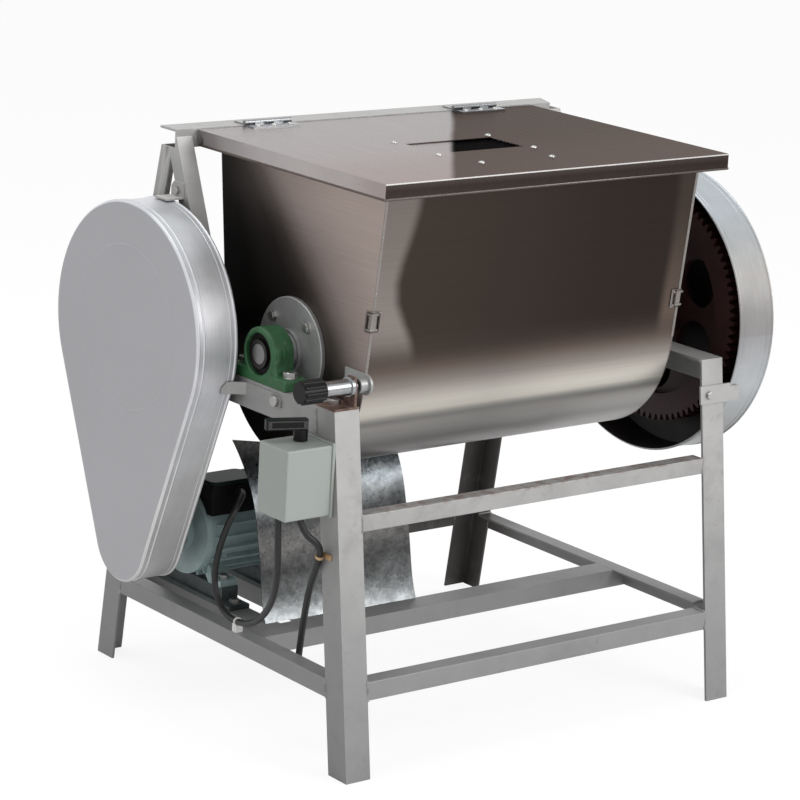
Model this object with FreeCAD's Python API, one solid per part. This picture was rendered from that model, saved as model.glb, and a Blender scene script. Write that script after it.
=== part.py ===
# A tilting dough mixer on an angle iron stand, driven by belts and an open gear pair.
# X runs along the trough, Y runs to the back, Z is up, and the floor is at zero.
import FreeCAD, Part
import math
import os

V = FreeCAD.Vector

# Stand, made of equal angle iron
HALF_LENGTH = 430.0
LEFT = -HALF_LENGTH
LEG_SIZE = 50.0
LEG_WALL = 5.0
FRONT_FOOT = -389.0
REAR_FOOT = 375.0
LEAN = 0.1325
RAIL_TOP = 615.3
LOW_TOP = 163.4
LOW_SIZE = 32.7
LOW_WALL = 4.0
MID_TOP = 440.7
MID_SIZE = 28.5
MID_WALL = 3.0
CROSS_FRONT = -98.0
CROSS_WIDTH = 48.0

# Gear pair
MODULE = 5.0
WHEEL_TEETH = 84
PINION_TEETH = 18
PRESSURE = 20.0
PLAY = 0.25
GEAR_LEFT = HALF_LENGTH + 28.0
GEAR_RIGHT = HALF_LENGTH + 73.0

# Shafts and pillow blocks
SHAFT_Y = -86.0
COUNTER_Y = SHAFT_Y + MODULE * (WHEEL_TEETH + PINION_TEETH) / 2
BLOCK_RISE = 47.6
SHAFT_Z = RAIL_TOP + BLOCK_RISE
SHAFT_R = 17.5
BLOCK_X = HALF_LENGTH - 24.0
BLOCK_LENGTH = 167.0
BLOCK_WIDTH = 48.0
BLOCK_FOOT = 19.0
BLOCK_HEAD_R = 46.0
BLOCK_BOLTS = 127.0
BOLT_R = 7.0
INSERT_R = 36.0
RACE_R = 25.0
RACE_LENGTH = 43.0
SHAFT_GAP = 0.3
RUN_FIT = 0.05
AGITATOR_LEFT = -(BLOCK_X + RACE_LENGTH / 2 - 0.5)
SHAFT_RIGHT = HALF_LENGTH + 82.0
COUNTER_LEFT = LEFT - 86.0

# Trough
TUB_LEFT = LEFT + 74.5
TUB_RIGHT = HALF_LENGTH - 104.5
TUB_R = 199.0
TUB_SHEET = 2.0
TUB_FLARE = 0.11
RIM_FRONT = 994.6
RIM_REAR = RIM_FRONT - 18.6
DISC_R = 91.0
DISC_THICK = 8.0
DISC_BOLTS = 70.0
DISC_BOLT_R = 5.0
CATCH_LOW = SHAFT_Z + 52.1
CATCH_HIGH = SHAFT_Z + 110.1

# Lid, its hinges and its port
LID_LEFT = TUB_LEFT - 32.2
LID_RIGHT = TUB_RIGHT + 32.2
LID_LIP = 28.0
LID_SHEET = 1.5
LID_TOP = RIM_FRONT + LID_SHEET + 0.3
LID_FRONT = -357.5
LID_BOLT_R = 2.5
HINGE_Y = 176.0
LID_REAR = HINGE_Y - 3.0
HINGE_Z = LID_TOP + 6.0
HINGE_R = 4.0
HINGE_PIN_R = 2.0
HINGE_LENGTH = 100.0
HINGE_LEAF = 2.5
HINGE_WIDTH = 30.0
HINGE_LEFTS = (LID_LEFT + 97.7, LID_RIGHT - 185.7)
SCREW_R = 2.0
PORT_LEFT = -129.0
PORT_RIGHT = 57.0
PORT_FRONT = -165.0
PORT_REAR = -72.0
PORT_SHEET = 1.5
GUIDE_LEFT = PORT_LEFT - 10.0
GUIDE_RIGHT = PORT_RIGHT + 9.0
GUIDE_FRONT = -252.0
GUIDE_REAR = -46.0
GUIDE_DEEP = 4.6
STOP_Y = -262.0

# Posts and the bar that carries the lid
BAR_TOP = LID_TOP + 1.6
BAR_FRONT = HINGE_Y
BAR_DEPTH = 50.0
BAR_DROP = 32.0
BAR_WALL = 4.0
BAR_LEFT = LEFT
BAR_RIGHT = HALF_LENGTH - 7.0
BAR_MITRE = 19.0
POST_SIZE = 32.0
POST_WALL = 3.0
FRONT_POST_FOOT = 22.0
FRONT_POST_LEAN = (BAR_FRONT + 4.7 - FRONT_POST_FOOT) / (BAR_TOP - RAIL_TOP)
REAR_POST_FOOT = 300.0
REAR_POST_LEAN = (BAR_FRONT + 37.6 - REAR_POST_FOOT) / (BAR_TOP - RAIL_TOP)

# Mixing bars
SLEEVE_R = 24.0
SWEEP_R = 168.0
STIR_R = 13.0
STIR_START = 65.0
STIR_TWIST = 50.0
STIR_LEFT = TUB_LEFT + 30.5
STIR_RIGHT = TUB_RIGHT - 30.5

# Belt drive
PULLEY_LEFT = LEFT - 82.0
PULLEY_RIGHT = LEFT - 36.0
PULLEY_R = 194.0
SMALL_PULLEY_R = 42.0
BELT_DEEP = 8.0
BELT_WIDE = 13.0
BELT_SINK = 1.0
BELT_SPACE = 19.0
MOTOR_Y = 166.0
MOTOR_Z = 287.0

# Guards
BELT_GUARD_RIM = LEFT - 15.0
BELT_GUARD_FACE = LEFT - 97.0
BELT_GUARD_Y = 168.0
BELT_GUARD_R = 219.0
BELT_GUARD_TIP_Y = MOTOR_Y
BELT_GUARD_TIP_R = 76.0
PRESSING_R = 146.0
GUARD_SHEET = 1.5
GUARD_BEAD = 2.0
GEAR_GUARD_RIM = HALF_LENGTH + 15.0
GEAR_GUARD_FACE = HALF_LENGTH + 98.0
GEAR_GUARD_Y = -71.0
GEAR_GUARD_Z = SHAFT_Z - 9.9
GEAR_GUARD_R = 261.0
GEAR_GUARD_TAIL_R = 76.0
GUARD_BOLT_R = 4.0
STRAP_THICK = 3.0
STRAP_LOW = RAIL_TOP - 27.3
STRAP_HIGH = RAIL_TOP - 6.3
STRAP_BOLT_Y = -149.0
STRAP_BOLT_Z = (STRAP_LOW + STRAP_HIGH) / 2 - 0.5
LUG_Z = SHAFT_Z + BELT_GUARD_R + 1.1
LUG_Y = 146.0
LUG_WIDE = 36.0
LUG_BOLT = (LUG_Y + 17.0, LUG_Z + 13.0)
TAB_LOW = 537.0
TAB_HIGH = 569.0
TAB_LEFT = HALF_LENGTH - 57.0
TAB_BOLT_X = TAB_LEFT + 19.0

# Motor
MOTOR_FACE = LEFT + 22.0
MOTOR_R = 78.0
MOTOR_FIN_R = 87.0
MOTOR_RISE = 90.0
MOTOR_FEET = (MOTOR_FACE + 56.0, MOTOR_FACE + 181.0)
MOTOR_FOOT_Y = 70.0
MOTOR_BOLT_R = 5.0
MOTOR_SHAFT_R = 12.0
ROTOR_R = 48.0
BOX_LEFT = MOTOR_FACE + 16.0
BOX_RIGHT = MOTOR_FACE + 108.0
BOX_FRONT = MOTOR_Y - 86.0
BOX_REAR = MOTOR_Y - 26.0
BOX_LOW = MOTOR_Z + 43.0
BOX_HIGH = MOTOR_Z + 97.0
SLIDE_FRONT = MOTOR_Y - 122.0
SLIDE_REAR = MOTOR_Y + 122.0

# Switch box
SWITCH_LEFT = LEFT - 95.0
SWITCH_BACK = LEFT - 6.0
SWITCH_FRONT = -314.0
SWITCH_REAR = -234.0
SWITCH_BOTTOM = 443.0
SWITCH_TOP = 563.0
SWITCH_WALL = 3.0
SWITCH_STEM = (LEFT - 36.0, -267.0)
STEM_R = 8.0
DRUM_R = 18.0

# Tilt lock
LOCK_Y = -293.0
LOCK_Z = RAIL_TOP + 35.7
LOCK_PIN_R = 8.0
LOCK_TUBE_R = 14.0
LOCK_TUBE_END = LEFT - 16.0
LOCK_CHEEK = LEFT + LEG_SIZE - 9.0
LOCK_TIP = TUB_LEFT - 23.5
LOCK_BOLT = (LEFT + 28.0, -270.0)
LOCK_BOLT_R = 5.0
KNOB_R = 17.5
KNOB_END = LEFT - 50.0

# Leads
LEAD_R = 5.75
MOTOR_LEAD = [
    (LEFT - 75, -268, 446), (LEFT - 74, -271, 385), (LEFT - 59, -252, 318),
    (LEFT - 33, -198, 252), (LEFT - 4, -105, 190), (LEFT + 22, 5, 172), (LEFT + 29, 54, 206),
    (LEFT + 28, 48, 268), (LEFT + 40, 34, 330), (LEFT + 70, 45, 362), (LEFT + 90, 60, 373),
    (LEFT + 90, 80, 373),
]
SUPPLY_LEAD = [
    (LEFT - 50.5, -290, 446), (LEFT - 46, -298, 416), (LEFT - 15, -311, 391),
    (LEFT - 6.5, -290, 352), (LEFT + 6, -254, 300), (LEFT + 25, -218, 236),
    (LEFT + 39, -192, 180), (LEFT + 43, -182, 138),
]


# Basic forms
def block(x0, x1, y0, y1, z0, z1):
    return Part.makeBox(x1 - x0, y1 - y0, z1 - z0, V(x0, y0, z0))


def rod(radius, x0, x1, y, z):
    return Part.makeCylinder(radius, x1 - x0, V(x0, y, z), V(1, 0, 0))


def pin(radius, x, y, z0, z1):
    return Part.makeCylinder(radius, z1 - z0, V(x, y, z0), V(0, 0, 1))


def dowel(radius, x, z, y0, y1):
    return Part.makeCylinder(radius, y1 - y0, V(x, y0, z), V(0, 1, 0))


def ring(outer, inner, x0, x1, y, z):
    return rod(outer, x0, x1, y, z).cut(rod(inner, x0, x1, y, z))


def face(points):
    corners = [V(*point) for point in points]
    return Part.Face(Part.makePolygon(corners + corners[:1]))


def slab_x(outline, x0, x1):
    return face([(x0, y, z) for y, z in outline]).extrude(V(x1 - x0, 0, 0))


def slab_y(outline, y0, y1):
    return face([(x, y0, z) for x, z in outline]).extrude(V(0, y1 - y0, 0))


def slab_z(outline, z0, z1):
    return face([(x, y, z0) for x, y in outline]).extrude(V(0, 0, z1 - z0))


def leaning(outline, z0, z1, lean):
    rise = z1 - z0
    return face([(x, y, z0) for x, y in outline]).extrude(V(0, lean * rise, rise))


def angle(x, y, right, back, across, deep, wall):
    """An angle section: its outer corner, and the way that each flange runs."""
    return [
        (x, y), (x + right * across, y), (x + right * across, y + back * wall),
        (x + right * wall, y + back * wall), (x + right * wall, y + back * deep),
        (x, y + back * deep),
    ]


def square(x, y, right, back, size):
    return [(x, y), (x + right * size, y), (x + right * size, y + back * size),
            (x, y + back * size)]


def join(*shapes):
    whole = shapes[0].fuse(list(shapes[1:]))
    return whole.removeSplitter().Solids[0]


def turned(shape, x, y, z, axis, degrees):
    copy = shape.copy()
    copy.rotate(V(x, y, z), V(*axis), degrees)
    return copy


def moved(shape, x, y, z):
    copy = shape.copy()
    copy.translate(V(x, y, z))
    return copy


def hex_prism(across, x, y, z0, z1):
    corner = across / math.sqrt(3.0)
    points = []
    for step in range(6):
        turn = math.radians(60.0 * step)
        points.append((x + corner * math.cos(turn), y + corner * math.sin(turn)))
    return slab_z(points, z0, z1)


def hex_bolt(radius, head, under, end, nut_top, x, y):
    """An upright bolt whose head sits on the level called under, and its nut."""
    across = radius * 3.2
    bolt = join(hex_prism(across, x, y, under, under + head), pin(radius, x, y, end, under))
    nut = hex_prism(across, x, y, nut_top - head, nut_top)
    return [bolt, nut.cut(pin(radius, x, y, nut_top - head, nut_top))]


def drop_outline(x, top, top_r, tip, tip_r):
    """Two circles in a plane across X, wrapped by straight tangents."""
    gap = V(0, tip[0] - top[0], tip[1] - top[1])
    reach = gap.Length
    along = V(gap).normalize()
    side = V(0, -along.z, along.y)
    lean = (top_r - tip_r) / reach
    rise = math.sqrt(1.0 - lean * lean)
    first = along * lean + side * rise
    second = along * lean - side * rise
    a = V(x, top[0], top[1])
    b = V(x, tip[0], tip[1])
    edges = [
        Part.Arc(a + first * top_r, a - along * top_r, a + second * top_r).toShape(),
        Part.makeLine(a + second * top_r, b + second * tip_r),
        Part.Arc(b + second * tip_r, b + along * tip_r, b + first * tip_r).toShape(),
        Part.makeLine(b + first * tip_r, a + first * top_r),
    ]
    return Part.Wire(edges)


def drop(x0, x1, top, top_r, tip, tip_r):
    return Part.Face(drop_outline(x0, top, top_r, tip, tip_r)).extrude(V(x1 - x0, 0, 0))


# Stand
def front_of_leg(z):
    return FRONT_FOOT + LEAN * z


def back_of_leg(z):
    return REAR_FOOT - LEAN * z


def leg(side, back):
    foot = REAR_FOOT if back else FRONT_FOOT
    inward = -1 if back else 1
    outline = angle(side * HALF_LENGTH, foot, -side, inward, LEG_SIZE, LEG_SIZE, LEG_WALL)
    return leaning(outline, 0.0, RAIL_TOP, inward * LEAN)


def leg_room(side, back):
    foot = REAR_FOOT if back else FRONT_FOOT
    inward = -1 if back else 1
    outline = square(side * HALF_LENGTH, foot, -side, inward, LEG_SIZE)
    return leaning(outline, 0.0, RAIL_TOP, inward * LEAN)


def top_rail(side):
    outline = angle(side * HALF_LENGTH, RAIL_TOP, -side, -1, LEG_SIZE, LEG_SIZE, LEG_WALL)
    rail = slab_y(outline, front_of_leg(RAIL_TOP), back_of_leg(RAIL_TOP))
    rail = rail.cut(leg(side, False)).cut(leg(side, True))
    for y in (SHAFT_Y, COUNTER_Y):
        for reach in (-BLOCK_BOLTS / 2, BLOCK_BOLTS / 2):
            rail = rail.cut(pin(BOLT_R, side * BLOCK_X, y + reach, RAIL_TOP - LEG_WALL, RAIL_TOP))
    return max(rail.Solids, key=lambda piece: piece.Volume)


def low_side_rail(side):
    outline = angle(side * HALF_LENGTH, LOW_TOP, -side, -1, LOW_SIZE, LOW_SIZE, LOW_WALL)
    rail = slab_y(outline, front_of_leg(0) + LEG_SIZE / 2, back_of_leg(0) - LEG_SIZE / 2)
    return rail.cut(leg_room(side, False)).cut(leg_room(side, True))


def low_end_rail(back):
    level = LOW_TOP - LOW_SIZE / 2
    plane = back_of_leg(level) if back else front_of_leg(level)
    inward = -1 if back else 1
    outline = angle(plane, LOW_TOP, inward, -1, LOW_SIZE, LOW_SIZE, LOW_WALL)
    reach = HALF_LENGTH - LEG_SIZE
    return slab_x(outline, -reach, reach)


def cross_rail():
    reach = HALF_LENGTH - LOW_SIZE
    top = block(-reach, reach, CROSS_FRONT, CROSS_FRONT + CROSS_WIDTH, LOW_TOP - LOW_WALL, LOW_TOP)
    long_reach = HALF_LENGTH - LOW_WALL
    web = block(-long_reach, long_reach, CROSS_FRONT, CROSS_FRONT + LOW_WALL,
                LOW_TOP - LOW_SIZE, LOW_TOP - LOW_WALL)
    return join(top, web)


def front_middle_rail():
    plane = front_of_leg(MID_TOP - MID_SIZE / 2)
    outline = angle(plane, MID_TOP, 1, -1, MID_SIZE, MID_SIZE, MID_WALL)
    reach = HALF_LENGTH - LEG_SIZE
    return slab_x(outline, -reach, reach)


def bar_room():
    outline = [(BAR_LEFT, BAR_FRONT), (BAR_RIGHT - BAR_MITRE, BAR_FRONT),
               (BAR_RIGHT, BAR_FRONT + BAR_DEPTH), (BAR_LEFT, BAR_FRONT + BAR_DEPTH)]
    return slab_z(outline, BAR_TOP - BAR_DROP, BAR_TOP)


def hinge_crossbar():
    hollow = block(BAR_LEFT, BAR_RIGHT, BAR_FRONT + BAR_WALL, BAR_FRONT + BAR_DEPTH,
                   BAR_TOP - BAR_DROP, BAR_TOP - BAR_WALL)
    bar = bar_room().cut(hollow)
    for x, y in hinge_screws(HINGE_Y + 21.0):
        bar = bar.cut(pin(SCREW_R, x, y, BAR_TOP - BAR_WALL, BAR_TOP))
    return bar


def post_room(side, back):
    foot = REAR_POST_FOOT if back else FRONT_POST_FOOT
    lean = REAR_POST_LEAN if back else FRONT_POST_LEAN
    outline = square(side * HALF_LENGTH, foot, -side, -1 if back else 1, POST_SIZE)
    return leaning(outline, RAIL_TOP, BAR_TOP, lean)


def post(side, back):
    foot = REAR_POST_FOOT if back else FRONT_POST_FOOT
    lean = REAR_POST_LEAN if back else FRONT_POST_LEAN
    outline = angle(side * HALF_LENGTH, foot, -side, -1 if back else 1,
                    POST_SIZE, POST_SIZE, POST_WALL)
    whole = leaning(outline, RAIL_TOP, BAR_TOP, lean).cut(bar_room())
    if back:
        whole = whole.cut(post_room(side, False))
    whole = whole.common(block(-HALF_LENGTH, HALF_LENGTH, -999, 999, RAIL_TOP, BAR_TOP - 12.0))
    return max(whole.Solids, key=lambda piece: piece.Volume)


# Pillow blocks
def block_housing(x, y):
    base = RAIL_TOP
    half = BLOCK_LENGTH / 2
    foot = slab_x([(y - half, base), (y + half, base), (y + half, base + BLOCK_FOOT - 3),
                   (y + half - 8, base + BLOCK_FOOT), (y - half + 8, base + BLOCK_FOOT),
                   (y - half, base + BLOCK_FOOT - 3)], x - BLOCK_WIDTH / 2, x + BLOCK_WIDTH / 2)
    head = rod(BLOCK_HEAD_R, x - 19, x + 19, y, SHAFT_Z)
    neck = slab_x([(y - 50, base + BLOCK_FOOT), (y + 50, base + BLOCK_FOOT),
                   (y + 44.5, SHAFT_Z + 12), (y - 44.5, SHAFT_Z + 12)], x - 19, x + 19)
    collar = rod(BLOCK_HEAD_R - 4, x - 23, x + 23, y, SHAFT_Z)
    shape = foot.fuse([head, neck, collar])
    for side in (-1, 1):
        for rib in (-12, 0, 12):
            gusset = slab_x([(y + side * 46, base + BLOCK_FOOT), (y + side * 50, base + BLOCK_FOOT),
                             (y + side * 46, base + BLOCK_FOOT + 20)], x + rib - 2, x + rib + 2)
            shape = shape.fuse(gusset)
        shape = shape.cut(pin(BOLT_R, x, y + side * BLOCK_BOLTS / 2, base, base + BLOCK_FOOT))
    shape = shape.cut(rod(INSERT_R, x - 24, x + 24, y, SHAFT_Z))
    return shape.removeSplitter().Solids[0]


def bearing_insert(x, y):
    return ring(INSERT_R, RACE_R, x - 15, x + 15, y, SHAFT_Z)


def inner_race(x, y):
    half = RACE_LENGTH / 2
    race = ring(RACE_R - SHAFT_GAP, SHAFT_R, x - half, x + half, y, SHAFT_Z)
    outer_end = x + math.copysign(half - 5, x)
    return race.cut(pin(2.5, outer_end, y, SHAFT_Z + SHAFT_R - 4, SHAFT_Z + RACE_R + 1))


def bearing_bolts():
    pieces = []
    for side in (-1, 1):
        for y in (SHAFT_Y, COUNTER_Y):
            for reach in (-BLOCK_BOLTS / 2, BLOCK_BOLTS / 2):
                pieces += hex_bolt(BOLT_R, 9.0, RAIL_TOP + BLOCK_FOOT, RAIL_TOP - 20.0,
                                   RAIL_TOP - LEG_WALL, side * BLOCK_X, y + reach)
    return pieces


# Trough
def tub_outline(radius, x, top):
    """The U of the trough in a plane across X: two flared walls and a round bottom."""
    tilt = math.atan(TUB_FLARE)
    low_y = radius * math.cos(tilt)
    low_z = SHAFT_Z - radius * math.sin(tilt)
    high_y = radius / math.cos(tilt) + TUB_FLARE * (top - SHAFT_Z)
    front_low = V(x, SHAFT_Y - low_y, low_z)
    rear_low = V(x, SHAFT_Y + low_y, low_z)
    front_high = V(x, SHAFT_Y - high_y, top)
    rear_high = V(x, SHAFT_Y + high_y, top)
    bottom = Part.Arc(front_low, V(x, SHAFT_Y, SHAFT_Z - radius), rear_low).toShape()
    return Part.Face(Part.Wire([
        Part.makeLine(front_high, front_low), bottom,
        Part.makeLine(rear_low, rear_high), Part.makeLine(rear_high, front_high),
    ]))


def rim_cut():
    reach = 1.5 * TUB_R
    start = SHAFT_Y - 236.0
    fall = (RIM_FRONT - RIM_REAR) / 472.0
    front = SHAFT_Y - reach
    rear = SHAFT_Y + reach
    return slab_x([(front, RIM_FRONT), (start, RIM_FRONT), (rear, RIM_FRONT - fall * (rear - start)),
                   (rear, RIM_FRONT + 60), (front, RIM_FRONT + 60)], TUB_LEFT - 5, TUB_RIGHT + 5)


def tub_shell():
    left = TUB_LEFT + TUB_SHEET
    length = TUB_RIGHT - TUB_LEFT - 2 * TUB_SHEET
    outer = tub_outline(TUB_R, left, RIM_FRONT + 20).extrude(V(length, 0, 0))
    inner = tub_outline(TUB_R - TUB_SHEET, left, RIM_FRONT + 20).extrude(V(length, 0, 0))
    return outer.cut(inner).cut(rim_cut()).Solids[0]


def tub_end(side):
    x = TUB_LEFT if side < 0 else TUB_RIGHT - TUB_SHEET
    plate = tub_outline(TUB_R, x, RIM_FRONT + 20).extrude(V(TUB_SHEET, 0, 0)).cut(rim_cut())
    plate = plate.cut(rod(30.0, x, x + TUB_SHEET, SHAFT_Y, SHAFT_Z))
    for y, z in disc_bolt_places():
        plate = plate.cut(rod(DISC_BOLT_R, x, x + TUB_SHEET, y, z))
    return plate.Solids[0]


def disc_bolt_places():
    reach = DISC_BOLTS * math.sqrt(0.5)
    return [(SHAFT_Y + a * reach, SHAFT_Z + b * reach) for a in (-1, 1) for b in (-1, 1)]


def end_disc(side):
    inner = TUB_LEFT if side < 0 else TUB_RIGHT
    bore = SHAFT_R + RUN_FIT
    outer = inner + side * DISC_THICK
    x0, x1 = sorted((inner, outer))
    disc = rod(DISC_R, x0, x1, SHAFT_Y, SHAFT_Z)
    disc = disc.makeChamfer(1.5, [edge for edge in disc.Edges if abs(edge.BoundBox.XMin - outer) < 0.1
                                  and abs(edge.BoundBox.XMax - outer) < 0.1])
    disc = disc.cut(rod(bore, x0, x1, SHAFT_Y, SHAFT_Z))
    for y, z in disc_bolt_places():
        disc = disc.cut(rod(DISC_BOLT_R, x0, x1, y, z))
    return disc.Solids[0]


def hub_collar(side):
    inner = (TUB_LEFT if side < 0 else TUB_RIGHT) + side * DISC_THICK
    outer = side * (BLOCK_X - RACE_LENGTH / 2 - 2.0)
    middle = inner + side * 8.0
    x0, x1 = sorted((inner, middle))
    x2, x3 = sorted((middle, outer))
    shape = rod(37.0, x0, x1, SHAFT_Y, SHAFT_Z).fuse(rod(31.0, x2, x3, SHAFT_Y, SHAFT_Z))
    low, high = sorted((inner, outer))
    shape = shape.removeSplitter().cut(rod(SHAFT_R + RUN_FIT, low, high, SHAFT_Y, SHAFT_Z))
    return shape.Solids[0]


def disc_bolts():
    pieces = []
    for side in (-1, 1):
        wall = TUB_LEFT if side < 0 else TUB_RIGHT
        outer = wall + side * DISC_THICK
        for y, z in disc_bolt_places():
            upright = hex_bolt(DISC_BOLT_R, 6.5, 0.0, -(DISC_THICK + TUB_SHEET + 9.0),
                               -(DISC_THICK + TUB_SHEET), 0.0, 0.0)
            for piece in upright:
                lying = turned(piece, 0, 0, 0, (0, 1, 0), 90.0 * side)
                pieces.append(moved(lying, outer, y, z))
    return pieces


def wall_front(z):
    return SHAFT_Y - TUB_R / math.cos(math.atan(TUB_FLARE)) - TUB_FLARE * (z - SHAFT_Z)


def corner_catch(side, low, high, reach_x, reach_y):
    """A folded catch plate around a front corner of the trough, with its wire loop."""
    wall = TUB_LEFT if side < 0 else TUB_RIGHT
    y = wall_front(low)
    thick = 2.0
    outline = [
        (wall - side * reach_x, y - thick), (wall + side * thick, y - thick),
        (wall + side * thick, y + reach_y), (wall, y + reach_y), (wall, y),
        (wall - side * reach_x, y),
    ]
    plate = leaning(outline, low, high, -TUB_FLARE)
    loop_out = [
        (wall - side * (reach_x - 3), y - thick - 2.5), (wall + side * (thick + 2.5), y - thick - 2.5),
        (wall + side * (thick + 2.5), y + reach_y - 3), (wall + side * thick, y + reach_y - 3),
        (wall + side * thick, y - thick), (wall - side * (reach_x - 3), y - thick),
    ]
    shape = plate
    for start in (low + 3, high - 6.5):
        edge = leaning([(a, b - TUB_FLARE * (start - low)) for a, b in loop_out],
                       start, start + 3.5, -TUB_FLARE)
        shape = shape.fuse(edge)
    return shape.removeSplitter().Solids[0]


def lock_keeper():
    """The lug on the left end plate, with the bush that takes the lock pin."""
    thick = 5.0
    x0, x1 = TUB_LEFT - thick, TUB_LEFT
    lug = block(x0, x1, LOCK_Y, LOCK_Y + 55.0, LOCK_Z - 18.0, LOCK_Z + 18.0)
    lug = lug.fuse(rod(18.0, x0, x1, LOCK_Y, LOCK_Z))
    lug = lug.fuse(rod(13.0, x0 - 15.5, x0, LOCK_Y, LOCK_Z)).removeSplitter()
    return lug.cut(rod(LOCK_PIN_R + SHAFT_GAP, x0 - 15.5, x1 - 2.0, LOCK_Y, LOCK_Z)).Solids[0]


# Tilt lock on the left front leg
def lock_plate():
    x0, x1 = -HALF_LENGTH, -HALF_LENGTH + LEG_SIZE
    y0 = front_of_leg(RAIL_TOP)
    plate = block(x0, x1, y0, y0 + LEG_SIZE, RAIL_TOP, RAIL_TOP + 4.0)
    cheek = slab_x([(LOCK_Y - 13, RAIL_TOP + 4), (LOCK_Y + 17, RAIL_TOP + 4), (LOCK_Y + 17, LOCK_Z),
                    (LOCK_Y + 9, LOCK_Z + 17), (LOCK_Y - 9, LOCK_Z + 17), (LOCK_Y - 13, LOCK_Z)],
                   LOCK_CHEEK, LOCK_CHEEK + 5)
    shape = plate.fuse(cheek).removeSplitter()
    shape = shape.cut(rod(LOCK_PIN_R + SHAFT_GAP, LOCK_CHEEK, LOCK_CHEEK + 5, LOCK_Y, LOCK_Z))
    return shape.cut(pin(LOCK_BOLT_R, LOCK_BOLT[0], LOCK_BOLT[1], RAIL_TOP, RAIL_TOP + 4)).Solids[0]


def lock_bolt():
    x, y = LOCK_BOLT
    head = hex_prism(17.0, x, y, RAIL_TOP + 4, RAIL_TOP + 10.5)
    return join(head, pin(LOCK_BOLT_R, x, y, RAIL_TOP - 12, RAIL_TOP + 4))


def lock_housing():
    tube = rod(LOCK_TUBE_R, LOCK_TUBE_END, LOCK_CHEEK, LOCK_Y, LOCK_Z)
    collar = rod(LOCK_TUBE_R + 3, LOCK_CHEEK - 7, LOCK_CHEEK, LOCK_Y, LOCK_Z)
    bore = rod(LOCK_PIN_R + SHAFT_GAP, LOCK_TUBE_END, LOCK_CHEEK, LOCK_Y, LOCK_Z)
    return tube.fuse(collar).removeSplitter().cut(bore).Solids[0]


def lock_plunger():
    return rod(LOCK_PIN_R, KNOB_END, LOCK_TIP, LOCK_Y, LOCK_Z)


def lock_knob():
    outer = KNOB_END - 12.0
    mouth = LOCK_TUBE_END - 0.5
    body = rod(KNOB_R, outer, mouth, LOCK_Y, LOCK_Z)
    for step in range(10):
        rib = rod(3.2, outer + 2, mouth - 2, LOCK_Y + KNOB_R - 0.5, LOCK_Z)
        body = body.fuse(turned(rib, 0, LOCK_Y, LOCK_Z, (1, 0, 0), 36.0 * step))
    body = body.cut(rod(LOCK_TUBE_R + 0.4, KNOB_END + 2, mouth, LOCK_Y, LOCK_Z))
    body = body.cut(rod(LOCK_PIN_R, KNOB_END, KNOB_END + 2, LOCK_Y, LOCK_Z))
    return body.removeSplitter().Solids[0]


# Lid
def lid():
    outer = block(LID_LEFT, LID_RIGHT, LID_FRONT, LID_REAR, LID_TOP - LID_LIP, LID_TOP)
    s = LID_SHEET
    inner = block(LID_LEFT + s, LID_RIGHT - s, LID_FRONT + s, LID_REAR - s,
                  LID_TOP - LID_LIP, LID_TOP - s)
    shape = outer.cut(inner)
    shape = shape.cut(block(PORT_LEFT, PORT_RIGHT, PORT_FRONT, PORT_REAR, LID_TOP - s, LID_TOP))
    for x, y in lid_bolt_places():
        shape = shape.cut(pin(LID_BOLT_R, x, y, LID_TOP - s, LID_TOP))
    for x, y in hinge_screws(HINGE_Y - 19.0):
        shape = shape.cut(pin(SCREW_R, x, y, LID_TOP - s, LID_TOP))
    return shape


def lid_bolt_places():
    return [(GUIDE_RIGHT, GUIDE_REAR - 10), (GUIDE_RIGHT, GUIDE_REAR - 135), (PORT_RIGHT - 19, STOP_Y),
            (GUIDE_LEFT, GUIDE_REAR - 8), (GUIDE_LEFT, GUIDE_REAR - 131), (PORT_LEFT + 14, STOP_Y)]


def port_plate():
    top = LID_TOP - LID_SHEET - 0.4
    return block(PORT_LEFT - 3, PORT_RIGHT + 3, PORT_FRONT - 4, PORT_REAR + 4, top - PORT_SHEET, top)


def port_guides():
    top = LID_TOP - LID_SHEET
    pieces = []
    for x, side in ((GUIDE_LEFT, -1), (GUIDE_RIGHT, 1)):
        edge = (PORT_LEFT - 3 if side < 0 else PORT_RIGHT + 3) + side * 0.5
        outer = x + side * 9.0
        lip = edge - side * 7.0
        outline = [(edge, top), (outer, top), (outer, top - GUIDE_DEEP), (lip, top - GUIDE_DEEP),
                   (lip, top - 2.4), (edge, top - 2.4)]
        guide = slab_y(outline, GUIDE_FRONT, GUIDE_REAR)
        for bx, by in lid_bolt_places():
            guide = guide.cut(pin(LID_BOLT_R, bx, by, top - GUIDE_DEEP, top))
        pieces.append(guide)
    stop = block(PORT_LEFT, PORT_RIGHT - 5, STOP_Y - 9, STOP_Y + 8, top - GUIDE_DEEP, top)
    for bx, by in lid_bolt_places():
        stop = stop.cut(pin(LID_BOLT_R, bx, by, top - GUIDE_DEEP, top))
    pieces.append(stop)
    return pieces


def lid_bolts():
    pieces = []
    for x, y in lid_bolt_places():
        dome = Part.makeSphere(6.2, V(x, y, LID_TOP - 3.0))
        dome = dome.common(pin(8.0, x, y, LID_TOP, LID_TOP + 6.0))
        shank = pin(LID_BOLT_R, x, y, LID_TOP - LID_SHEET - 9.0, LID_TOP)
        pieces.append(join(dome, shank))
        top = LID_TOP - LID_SHEET - GUIDE_DEEP
        nut = hex_prism(8.0, x, y, top - 4.0, top)
        pieces.append(nut.cut(pin(LID_BOLT_R, x, y, top - 4, top)))
    return pieces


# Hinges
def hinge_screws(y):
    places = []
    for left in HINGE_LEFTS:
        for step in (0.16, 0.5, 0.84):
            places.append((left + step * HINGE_LENGTH, y))
    return places


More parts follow.
